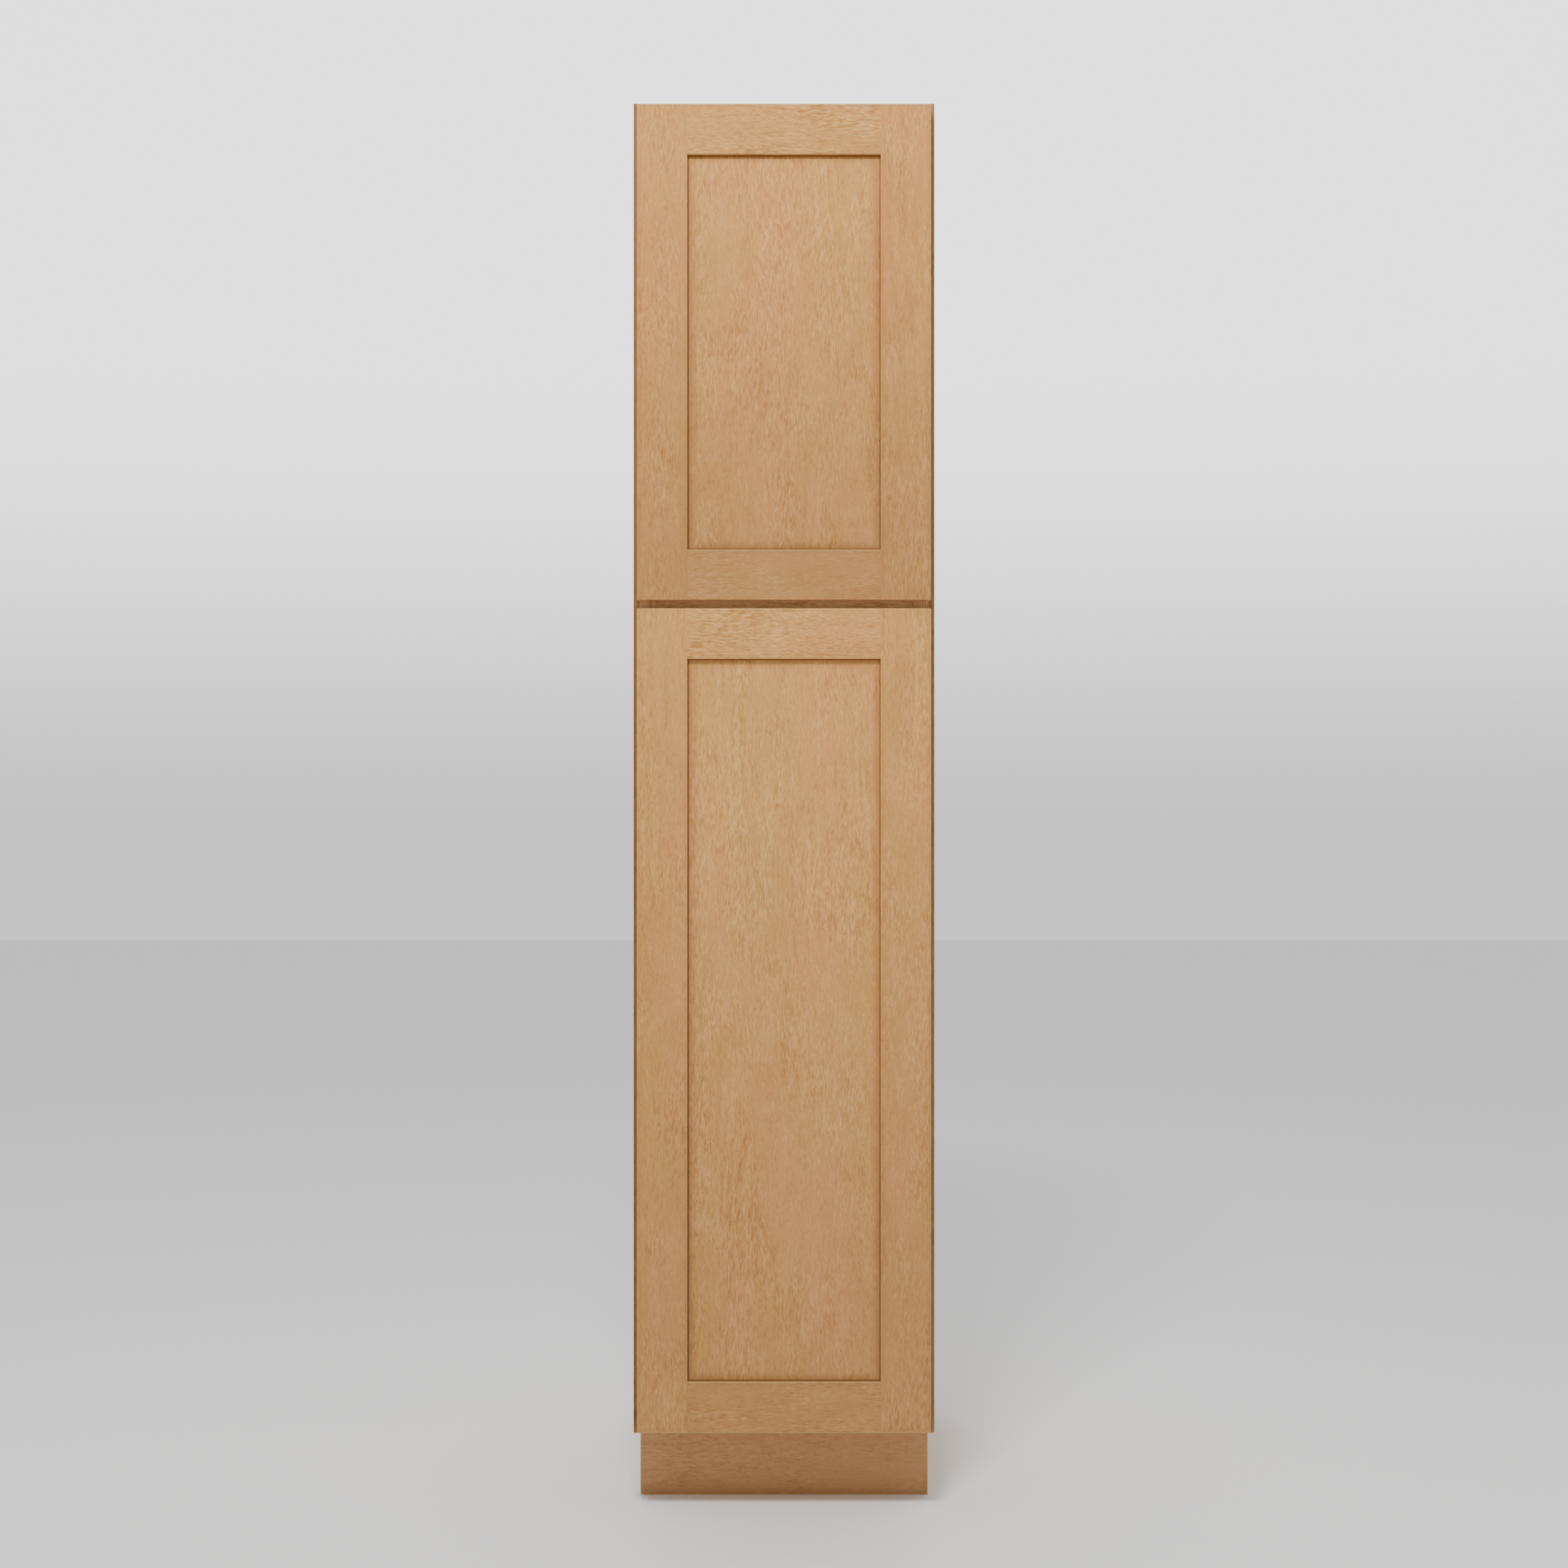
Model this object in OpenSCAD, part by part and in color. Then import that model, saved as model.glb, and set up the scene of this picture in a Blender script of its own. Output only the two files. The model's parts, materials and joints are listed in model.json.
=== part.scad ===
// Tall pantry cabinet with a face frame, two overlay doors and lift-off shelves.
// Millimetres. +Z is up, the doors face -Y, and the origin is on the floor
// under the middle of the whole cabinet, doors included.

// Piece to draw, or all of them

/* [Cabinet] */
// Width over the face frame
cab_w = 457.2; // [380:1:610]
// Depth from the front of the face frame to the back edge of the sides
cab_d = 609.6; // [380:1:620]
// Height from the floor to the top
cab_h = 2133.6; // [1780:1:2440]
// Thickness of the plywood sides
side_t = 12.7; // [11:0.1:19]
// Thickness of the top panel and the bottom deck
deck_t = 12.7; // [12:0.1:19]
// Thickness of the back panel
back_t = 6.35; // [4:0.05:9]
// Depth of the dados and grooves in the sides
dado_d = 6.35; // [4:0.05:8]

/* [Face frame] */
// Thickness of the frame
frame_t = 19.05; // [18:0.05:25]
// Width of the frame stiles and rails
frame_w = 38.1; // [36:0.1:51]
// How far the frame stands out past each side of the box
frame_over = 6.35; // [3:0.05:10]
// Height of the underside of the middle rail
mid_rail_z = 1352.55; // [1100:0.05:1500]

/* [Toe kick] */
// Height of the toe space
toe_h = 114.3; // [80:0.1:140]
// How far the toe board stands behind the front of the frame
toe_in = 76.2; // [50:0.1:100]
// Thickness of the toe board
toe_t = 12.7; // [9:0.1:19]

/* [Doors] */
// Thickness of the door frames
door_t = 19.05; // [18:0.05:23]
// How far each door laps over the face frame on its hinge side
overlay = 31.75; // [31:0.05:32.5]
// Gap between the doors
door_split = 12.7; // [6:0.1:16]
// Gap between the back of the doors and the face frame
door_gap = 3; // [2.9:0.1:3.4]
// Width of the door stiles and rails
rail_w = 76.2; // [57:0.1:90]
// Thickness of the door panels
panel_t = 6.35; // [5:0.05:7]
// Depth of the grooves that hold the panels
groove_d = 9.5; // [7:0.1:12]
// Bevel on the long back edges of the doors
edge_ease = 1.5; // [1.5:0.1:2.5]

/* [Hinges] */
// Diameter of the hinge cups
cup_d = 35; // [35:0.5:36]
// Depth of the hinge cups
cup_depth = 12.5; // [12:0.1:13]
// Distance from the end of a door to its first hinge
hinge_in = 100; // [90:1:140]
// Diameter of the hinge pins
pin_d = 2.5; // [2:0.1:2.8]

/* [Shelves] */
// Thickness of the fixed and the loose shelves
shelf_t = 19.05; // [15:0.05:20]
// Gap at each end and edge of a loose shelf
shelf_gap = 1.6; // [1:0.1:3]
// Spacing of the shelf pin holes
hole_pitch = 32; // [25:1:50]
// Diameter of the shelf pin holes
hole_d = 5; // [4:0.1:7]

/* [Hidden] */
// clearance of a fixed joint, of a pin that turns, and of a screw in its hole
fit = 0.05;
run_fit = 0.05;
bore_fit = 0.05;
eps = 0.01;

// depth of the whole object, and its main planes from front to back
all_d = cab_d + door_gap + door_t;
y_front = -all_d / 2;
y_face = y_front + door_t + door_gap;
y_box = y_face + frame_t;
y_back = all_d / 2;
hang_t = 19.05;
hang_w = 76.2;
y_panel_back = y_back - hang_t;
y_panel = y_panel_back - back_t;

// box
box_w = cab_w - 2 * frame_over;
in_w = box_w - 2 * side_t;
toe_y = y_face + toe_in;

// levels
deck_top = toe_h + frame_w;
mid_top = mid_rail_z + frame_w;
top_drop = 6.35;
top_top = cab_h - top_drop;
top_under = top_top - deck_t;
opening_top = cab_h - frame_w;
back_z0 = deck_top - deck_t - dado_d;

// doors: the frame that shows around them is what the hinges' overlay leaves
reveal = frame_w - overlay;
door_w = cab_w - 2 * reveal;
door_x = -door_w / 2;
door_end = reveal;
mid_z = mid_rail_z + frame_w / 2;
low_z = toe_h + door_end;
low_h = mid_z - door_split / 2 - low_z;
up_z = mid_z + door_split / 2;
up_h = cab_h - door_end - up_z;
groove_y = -door_gap - door_t / 2;
groove_w = panel_t + 2 * fit;
panel_edge = 1;

// hinges: s runs in from the door's hinge edge, v back from the frame's front
cup_s = 3 + cup_d / 2;
cup_wall = 0.8;
cup_in_r = cup_d / 2 - cup_wall;
cup_floor = -door_gap - cup_depth;
flange_t = 1;
pivot_s = 7.5;
pivot_v = -door_gap - 9.1;
eye_r = pin_d / 2 + 0.85;
arm_w = 9;
arm_t = 1.5;
lug_gap = 0.5;
lug_t = 2;
plate_t = 2;
plate_h = 48;
plate_v0 = 1.2;
plate_v1 = frame_t - plate_v0;
leg_s = overlay + plate_t;
leg_t = 1.8;
foot_v = plate_v1 - 1.3;
foot_h = 16;
plate_screw_z = 16;
cup_screw_z = 22.5;
cup_screw_s = cup_s + 9.5;
wood_screw_r = 1.75;
wood_head_r = 3.2;
wood_screw_l = 13;
adjust_r = 1.9;
adjust_head_r = 3.4;
adjust_head_t = 1.6;
plate_mid_v = (plate_v0 + plate_v1) / 2;

low_hinges = [low_z + hinge_in, low_z + low_h / 2, low_z + low_h - hinge_in];
up_hinges = [up_z + hinge_in, up_z + up_h - hinge_in];
all_hinges = concat(low_hinges, up_hinges);

bumper_r = 5;
bumper_t = door_gap - 0.1;
bumper_in = 14;

// pocket screws
pocket_angle = 15;
pocket_r = 4.75;
pocket_shoulder = 20;
pocket_screw_r = 2;
pocket_head_r = 4;
pocket_head_t = 2;
pocket_grip = 20;
pocket_dz = frame_w / 4;

// shelf pins and shelves
hole_depth = 9;
hole_inset = 50;
row_margin = 7 * hole_pitch;
least_rows = 2;
peg_r = hole_d / 2 - fit;
peg_l = 8.5;
paddle_l = 9;
paddle_w = 9;
paddle_t = 1.6;
shelf_y0 = y_box + 3;
shelf_y1 = y_panel - shelf_gap;
shelf_w = in_w - 2 * shelf_gap;
shelf_front_row = shelf_y0 + hole_inset;
shelf_back_row = shelf_y1 - hole_inset;
function rows_in(space) =
  max(least_rows, floor((space - 2 * row_margin) / hole_pitch));
low_space = mid_top - shelf_t - deck_top;
low_rows = rows_in(low_space);
low_row0 = deck_top + (low_space - low_rows * hole_pitch) / 2;
up_space = top_under - mid_top;
up_rows = rows_in(up_space);
up_row0 = mid_top + (up_space - up_rows * hole_pitch) / 2;
low_row_used = [for (f = [1 / 8, 1 / 2, 7 / 8]) round(f * low_rows)];
shelf_rows = concat([for (i = low_row_used) low_row0 + i * hole_pitch],
                    [up_row0 + ceil(up_rows / 2) * hole_pitch]);
shelf_rest = peg_r;

// colours
stained_c = [0.78, 0.63, 0.46];
panel_c = [0.77, 0.62, 0.45];
ply_c = [0.87, 0.77, 0.60];
toe_c = [0.62, 0.47, 0.31];
steel_c = [0.75, 0.75, 0.74];
zinc_c = [0.62, 0.62, 0.60];
clear_c = [0.85, 0.85, 0.82];

// ---------------------------------------------------------------- box

// every row of pin holes in a compartment, both columns, on the +x side
module pin_holes(z0, rows) {
  for (i = [0 : rows], y = [shelf_front_row, shelf_back_row])
    translate([in_w / 2 - eps, y, z0 + i * hole_pitch])
      rotate([0, 90, 0])
        cylinder(h = hole_depth + eps, d = hole_d, $fn = 24);
}

// dado that takes the end of a deck or shelf, on the +x side
module dado(z_under, t) {
  translate([in_w / 2 - eps, y_box - 1, z_under - fit])
    cube([dado_d + fit + eps, y_panel - y_box + 1 + fit, t + 2 * fit]);
}

module side_panel() {
  color(ply_c)
    difference() {
      translate([in_w / 2, y_box, 0])
        cube([side_t, y_back - y_box, cab_h]);
      translate([in_w / 2 - 1, y_box - 1, -1])
        cube([side_t + 2, toe_y + toe_t - y_box + 1, toe_h + 1]);
      dado(deck_top - deck_t, deck_t);
      dado(mid_top - shelf_t, shelf_t);
      dado(top_under, deck_t);
      translate([in_w / 2 - eps, y_panel - fit, back_z0 - fit])
        cube([dado_d + fit + eps, back_t + 2 * fit, top_top - back_z0 + 2 * fit]);
      pin_holes(low_row0, low_rows);
      pin_holes(up_row0, up_rows);
    }
}

module left_side_panel() {
  mirror([1, 0, 0]) side_panel();
}

module right_side_panel() {
  side_panel();
}

// board that runs between the sides, with both ends in dados
module deck_board(z_under, t) {
  translate([-in_w / 2 - dado_d, y_box, z_under])
    cube([in_w + 2 * dado_d, y_panel - y_box, t]);
}

module top_panel() {
  color(ply_c) deck_board(top_under, deck_t);
}

module bottom_deck() {
  color(ply_c) deck_board(deck_top - deck_t, deck_t);
}

module fixed_shelf() {
  color(ply_c) deck_board(mid_top - shelf_t, shelf_t);
}

module back_panel() {
  color(ply_c)
    translate([-in_w / 2 - dado_d, y_panel, back_z0])
      cube([in_w + 2 * dado_d, back_t, top_top - back_z0]);
}

module hanging_rail(z) {
  color(ply_c)
    translate([-in_w / 2, y_panel_back, z])
      cube([in_w, hang_t, hang_w]);
}

module hanging_rail_top() {
  hanging_rail(cab_h - hang_w);
}

module hanging_rail_middle() {
  hanging_rail(mid_top - shelf_t / 2 - hang_w / 2);
}

module hanging_rail_bottom() {
  hanging_rail(back_z0);
}

module toe_kick_board() {
  color(toe_c)
    translate([-box_w / 2, toe_y, 0])
      cube([box_w, toe_t, toe_h]);
}

// three-cornered blocks glued behind the toe board and under the deck
block_s = 38;
block_h = 90;
module corner_block() {
  linear_extrude(block_h)
    polygon([[0, 0], [block_s, 0], [0, block_s]]);
}

module corner_blocks() {
  color(ply_c)
    for (m = [0, 1])
      mirror([m, 0, 0]) {
        translate([-in_w / 2, toe_y + toe_t, 5])
          corner_block();
        translate([-in_w / 2, y_panel, deck_top - deck_t - block_h])
          mirror([0, 1, 0])
            corner_block();
      }
}

// ---------------------------------------------------------------- face frame

rail_len = cab_w - 2 * frame_w;

// places a pocket screw: its axis is x, and x = 0 is the joint
module at_pocket(z) {
  translate([rail_len / 2, y_face + frame_t / 2, z])
    rotate([0, 0, -pocket_angle])
      rotate([0, 90, 0])
        children();
}

// stepped hole for one pocket screw, drilled from the back of a rail
module pocket_bore(z) {
  at_pocket(z) {
    translate([0, 0, -pocket_shoulder - 1])
      cylinder(h = pocket_shoulder + 1 + pocket_grip + 1,
               r = pocket_screw_r + bore_fit, $fn = 32);
    translate([0, 0, -pocket_shoulder - 40])
      cylinder(h = 40, r = pocket_r, $fn = 32);
  }
}

module pocket_screw(z) {
  at_pocket(z) {
    translate([0, 0, -pocket_shoulder])
      cylinder(h = pocket_shoulder + pocket_grip, r = pocket_screw_r, $fn = 32);
    translate([0, 0, -pocket_shoulder - pocket_head_t])
      cylinder(h = pocket_head_t, r = pocket_head_r, $fn = 32);
  }
}

frame_rail_zs = [toe_h, mid_rail_z, opening_top];

function pocket_zs(z) = [z + pocket_dz, z + frame_w - pocket_dz];

// everything that is drilled or screwed into the left stile's inner edge
module frame_stile(hinged) {
  color(stained_c)
    difference() {
      translate([cab_w / 2 - frame_w, y_face, toe_h])
        cube([frame_w, frame_t, cab_h - toe_h]);
      for (z = frame_rail_zs, p = pocket_zs(z))
        pocket_bore(p);
      if (hinged)
        mirror([1, 0, 0])
          for (h = all_hinges) {
            plate_screw_bores(h);
            adjust_bore(h);
          }
    }
}

module frame_stile_left() {
  mirror([1, 0, 0]) frame_stile(true);
}

module frame_stile_right() {
  frame_stile(false);
}

module frame_rail(z) {
  color(stained_c)
    difference() {
      translate([-rail_len / 2, y_face, z])
        cube([rail_len, frame_t, frame_w]);
      for (p = pocket_zs(z), m = [0, 1])
        mirror([m, 0, 0])
          pocket_bore(p);
    }
}

module frame_rail_top() {
  frame_rail(opening_top);
}

module frame_rail_middle() {
  frame_rail(mid_rail_z);
}

module frame_rail_bottom() {
  frame_rail(toe_h);
}

module frame_pocket_screws() {
  color(zinc_c)
    for (z = frame_rail_zs, p = pocket_zs(z), m = [0, 1])
      mirror([m, 0, 0])
        pocket_screw(p);
}

// ---------------------------------------------------------------- shelves

// steel pin: round peg in the hole, flat paddle under the shelf
module shelf_pin(y, z) {
  translate([in_w / 2, y, z]) {
    translate([-paddle_t, 0, 0])
      rotate([0, 90, 0])
        cylinder(h = peg_l + paddle_t, r = peg_r, $fn = 24);
    translate([-paddle_l, -paddle_w / 2, peg_r - paddle_t])
      cube([paddle_l, paddle_w, paddle_t]);
    translate([-paddle_t, 0, 0])
      rotate([0, 90, 0])
        intersection() {
          cylinder(h = paddle_t, r = peg_r + 2, $fn = 24);
          translate([-peg_r, -10, 0])
            cube([20, 20, paddle_t]);
        }
  }
}

module shelf_pins() {
  color(steel_c)
    for (z = shelf_rows, y = [shelf_front_row, shelf_back_row], m = [0, 1])
      mirror([m, 0, 0])
        shelf_pin(y, z);
}

module loose_shelf(i) {
  color(ply_c)
    translate([-shelf_w / 2, shelf_y0, shelf_rows[i] + shelf_rest])
      cube([shelf_w, shelf_y1 - shelf_y0, shelf_t]);
}

module shelf_1() {
  loose_shelf(0);
}

module shelf_2() {
  loose_shelf(1);
}

module shelf_3() {
  loose_shelf(2);
}

module shelf_4() {
  loose_shelf(3);
}

// ---------------------------------------------------------------- doors

// cross-section of a door stile: grooved inner edge, eased back outer corner
module stile_section() {
  y0 = -door_gap - door_t;
  y1 = -door_gap;
  difference() {
    polygon([[0, y0], [rail_w, y0], [rail_w, y1],
             [edge_ease, y1], [0, y1 - edge_ease]]);
    translate([rail_w - groove_d, groove_y - groove_w / 2])
      square([groove_d + 1, groove_w]);
  }
}

module door_stile(z, h) {
  translate([door_x, y_face, z])
    linear_extrude(h)
      stile_section();
}

// stile on the hinge side, bored for its cups and their screws
module hinge_stile(z, h, hinges) {
  color(stained_c)
    difference() {
      door_stile(z, h);
      for (c = hinges)
        cup_bores(c);
    }
}

module free_stile(z, h) {
  color(stained_c)
    mirror([1, 0, 0])
      door_stile(z, h);
}

// rail between the stiles, with a tongue on each end and one grooved edge
module door_rail(z, groove_up) {
  len = door_w - 2 * rail_w;
  tongue = groove_d - fit;
  color(stained_c)
    translate([-len / 2, y_face - door_gap - door_t, z])
      difference() {
        union() {
          cube([len, door_t, rail_w]);
          translate([-tongue, door_t / 2 - panel_t / 2, 0])
            cube([len + 2 * tongue, panel_t, rail_w]);
        }
        translate([-tongue - 1, door_t / 2 - groove_w / 2,
                   groove_up ? rail_w - groove_d : -1])
          cube([len + 2 * tongue + 2, groove_w, groove_d + 1]);
      }
}

module door_panel(z, h) {
  grow = groove_d - panel_edge;
  color(panel_c)
    translate([door_x + rail_w - grow, y_face + groove_y - panel_t / 2,
               z + rail_w - grow])
      cube([door_w - 2 * rail_w + 2 * grow, panel_t, h - 2 * rail_w + 2 * grow]);
}

module door_bumpers(z, h) {
  color(clear_c)
    for (bz = [z + bumper_in, z + h - bumper_in])
      translate([-door_x - bumper_in, y_face - door_gap, bz])
        rotate([-90, 0, 0])
          cylinder(h = bumper_t, r1 = bumper_r, r2 = bumper_r - 1, $fn = 48);
}

module upper_door_hinge_stile() {
  hinge_stile(up_z, up_h, up_hinges);
}

module upper_door_free_stile() {
  free_stile(up_z, up_h);
}

module upper_door_top_rail() {
  door_rail(up_z + up_h - rail_w, false);
}

module upper_door_bottom_rail() {
  door_rail(up_z, true);
}

module upper_door_panel() {
  door_panel(up_z, up_h);
}

module upper_door_bumpers() {
  door_bumpers(up_z, up_h);
}

module lower_door_hinge_stile() {
  hinge_stile(low_z, low_h, low_hinges);
}

module lower_door_free_stile() {
  free_stile(low_z, low_h);
}

module lower_door_top_rail() {
  door_rail(low_z + low_h - rail_w, false);
}

module lower_door_bottom_rail() {
  door_rail(low_z, true);
}

module lower_door_panel() {
  door_panel(low_z, low_h);
}

module lower_door_bumpers() {
  door_bumpers(low_z, low_h);
}

// ---------------------------------------------------------------- hinges

// puts a hinge's own frame (s, v, z about its middle) in place at height h
module at_hinge(h) {
  translate([door_x, y_face, h])
    children();
}

// cylinder along +v from (s, v), at height z
module along_v(s, v, z, len, r) {
  translate([s, v, z])
    rotate([-90, 0, 0])
      cylinder(h = len, r = r, $fn = 48);
}

// cylinder along -s that ends at s, at (v, z)
module along_s(s, v, z, len, r) {
  translate([s - len, v, z])
    rotate([0, 90, 0])
      cylinder(h = len, r = r, $fn = 32);
}

// holes in a door stile for one cup and its two screws
module cup_bores(h) {
  at_hinge(h) {
    along_v(cup_s, cup_floor - fit, 0, cup_depth + 1, cup_d / 2 + fit);
    for (z = [-cup_screw_z, cup_screw_z])
      along_v(cup_screw_s, -door_gap - wood_screw_l, z, wood_screw_l + 1,
              wood_screw_r + bore_fit);
  }
}

// pressed cup with a ring, two screw wings and two lugs that hold the pin
module hinge_cup(h) {
  wing_r = 5.5;
  color(steel_c)
    at_hinge(h)
      difference() {
        union() {
          along_v(cup_s, cup_floor, 0, cup_depth, cup_d / 2);
          along_v(cup_s, -door_gap, 0, flange_t, cup_d / 2 + 0.8);
          for (z = [-cup_screw_z, cup_screw_z])
            along_v(cup_screw_s, -door_gap, z, flange_t, wing_r);
          translate([cup_screw_s - wing_r, -door_gap, -cup_screw_z])
            cube([2 * wing_r, flange_t, 2 * cup_screw_z]);
        }
        difference() {
          along_v(cup_s, cup_floor + cup_wall, 0, cup_depth + 2, cup_in_r);
          for (m = [0, 1])
            mirror([0, 0, m])
              translate([0, cup_floor, arm_w / 2 + lug_gap])
                cube([pivot_s + eye_r + 0.6, pivot_v + eye_r - cup_floor, lug_t]);
        }
        translate([pivot_s, pivot_v, -cup_d / 2 + 6])
          cylinder(h = cup_d - 12, r = pin_d / 2 + fit, $fn = 32);
        for (z = [-cup_screw_z, cup_screw_z])
          along_v(cup_screw_s, -door_gap - 1, z, flange_t + 2,
                  wood_screw_r + bore_fit);
      }
}

module hinge_cup_1() {
  hinge_cup(all_hinges[0]);
}

module hinge_cup_2() {
  hinge_cup(all_hinges[1]);
}

module hinge_cup_3() {
  hinge_cup(all_hinges[2]);
}

module hinge_cup_4() {
  hinge_cup(all_hinges[3]);
}

module hinge_cup_5() {
  hinge_cup(all_hinges[4]);
}

// bent arm: eye on the pin, neck along the cup's floor, leg up to the plate
module arm_section() {
  v0 = pivot_v - eye_r;
  difference() {
    union() {
      translate([pivot_s, pivot_v])
        circle(r = eye_r, $fn = 32);
      polygon([[pivot_s, v0], [leg_s + leg_t, v0], [leg_s + leg_t, foot_v],
               [leg_s, foot_v], [leg_s, v0 + arm_t], [pivot_s, v0 + arm_t]]);
    }
    translate([pivot_s, pivot_v])
      circle(r = pin_d / 2 + run_fit, $fn = 32);
  }
}

module hinge_arm(h) {
  color(steel_c)
    at_hinge(h)
      difference() {
        union() {
          translate([0, 0, -arm_w / 2])
            linear_extrude(arm_w)
              arm_section();
          translate([leg_s, plate_v0 + 1, -foot_h / 2])
            cube([leg_t, foot_v - plate_v0 - 1, foot_h]);
        }
        along_s(leg_s + leg_t + 1, plate_mid_v, 0, leg_t + 2, adjust_r + bore_fit);
      }
}

module hinge_arm_1() {
  hinge_arm(all_hinges[0]);
}

module hinge_arm_2() {
  hinge_arm(all_hinges[1]);
}

module hinge_arm_3() {
  hinge_arm(all_hinges[2]);
}

module hinge_arm_4() {
  hinge_arm(all_hinges[3]);
}

module hinge_arm_5() {
  hinge_arm(all_hinges[4]);
}

// holes for the two wood screws of one frame plate
module plate_screw_bores(h) {
  at_hinge(h)
    for (z = [-plate_screw_z, plate_screw_z])
      along_s(leg_s + 1, plate_mid_v, z, wood_screw_l + plate_t + 1,
              wood_screw_r + bore_fit);
}

// hole for the adjusting screw of one hinge
module adjust_bore(h) {
  at_hinge(h)
    along_s(leg_s + 1, plate_mid_v, 0, 9, adjust_r + bore_fit);
}

module hinge_frame_plates() {
  color(zinc_c)
    for (h = all_hinges)
      difference() {
        at_hinge(h)
          translate([overlay, plate_v0, -plate_h / 2])
            cube([plate_t, plate_v1 - plate_v0, plate_h]);
        plate_screw_bores(h);
        adjust_bore(h);
      }
}

module hinge_plate_screws() {
  color(zinc_c)
    for (h = all_hinges, z = [-plate_screw_z, plate_screw_z])
      at_hinge(h) {
        along_s(leg_s, plate_mid_v, z, wood_screw_l + plate_t, wood_screw_r);
        translate([leg_s, plate_mid_v, z])
          rotate([0, 90, 0])
            cylinder(h = 1.4, r1 = wood_head_r, r2 = wood_head_r - 1, $fn = 32);
      }
}

module hinge_adjusting_screws() {
  color(steel_c)
    for (h = all_hinges)
      at_hinge(h) {
        along_s(leg_s + leg_t, plate_mid_v, 0, leg_t + 7, adjust_r);
        along_s(leg_s + leg_t + adjust_head_t, plate_mid_v, 0, adjust_head_t,
                adjust_head_r);
      }
}

module hinge_pins(hinges) {
  pin_l = arm_w + 2 * lug_gap + 2 * lug_t + 1.6;
  color(zinc_c)
    for (h = hinges)
      at_hinge(h)
        translate([pivot_s, pivot_v, -pin_l / 2])
          cylinder(h = pin_l, d = pin_d, $fn = 32);
}

module lower_hinge_pins() {
  hinge_pins(low_hinges);
}

module upper_hinge_pins() {
  hinge_pins(up_hinges);
}

module cup_screws(hinges) {
  color(zinc_c)
    for (h = hinges, z = [-cup_screw_z, cup_screw_z])
      at_hinge(h) {
        along_v(cup_screw_s, -door_gap - wood_screw_l + 1, z,
                wood_screw_l - 1 + flange_t, wood_screw_r);
        translate([cup_screw_s, -door_gap + flange_t, z])
          rotate([-90, 0, 0])
            cylinder(h = 0.9, r1 = wood_head_r, r2 = wood_head_r - 0.8, $fn = 32);
      }
}

module lower_cup_screws() {
  cup_screws(low_hinges);
}

module upper_cup_screws() {
  cup_screws(up_hinges);
}

// ---------------------------------------------------------------- drawing

left_side_panel();
right_side_panel();
top_panel();
bottom_deck();
fixed_shelf();
back_panel();
hanging_rail_top();
hanging_rail_middle();
hanging_rail_bottom();
toe_kick_board();
corner_blocks();
frame_stile_left();
frame_stile_right();
frame_rail_top();
frame_rail_middle();
frame_rail_bottom();
frame_pocket_screws();
shelf_pins();
shelf_1();
shelf_2();
shelf_3();
shelf_4();
upper_door_hinge_stile();
upper_door_free_stile();
upper_door_top_rail();
upper_door_bottom_rail();
upper_door_panel();
upper_door_bumpers();
lower_door_hinge_stile();
lower_door_free_stile();
lower_door_top_rail();
lower_door_bottom_rail();
lower_door_panel();
lower_door_bumpers();
hinge_cup_1();
hinge_cup_2();
hinge_cup_3();
hinge_cup_4();
hinge_cup_5();
hinge_arm_1();
hinge_arm_2();
hinge_arm_3();
hinge_arm_4();
hinge_arm_5();
hinge_frame_plates();
hinge_plate_screws();
hinge_adjusting_screws();
lower_hinge_pins();
upper_hinge_pins();
lower_cup_screws();
upper_cup_screws();
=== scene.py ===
import json
import math

import bmesh
import bpy
from mathutils import Matrix, Vector

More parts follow.
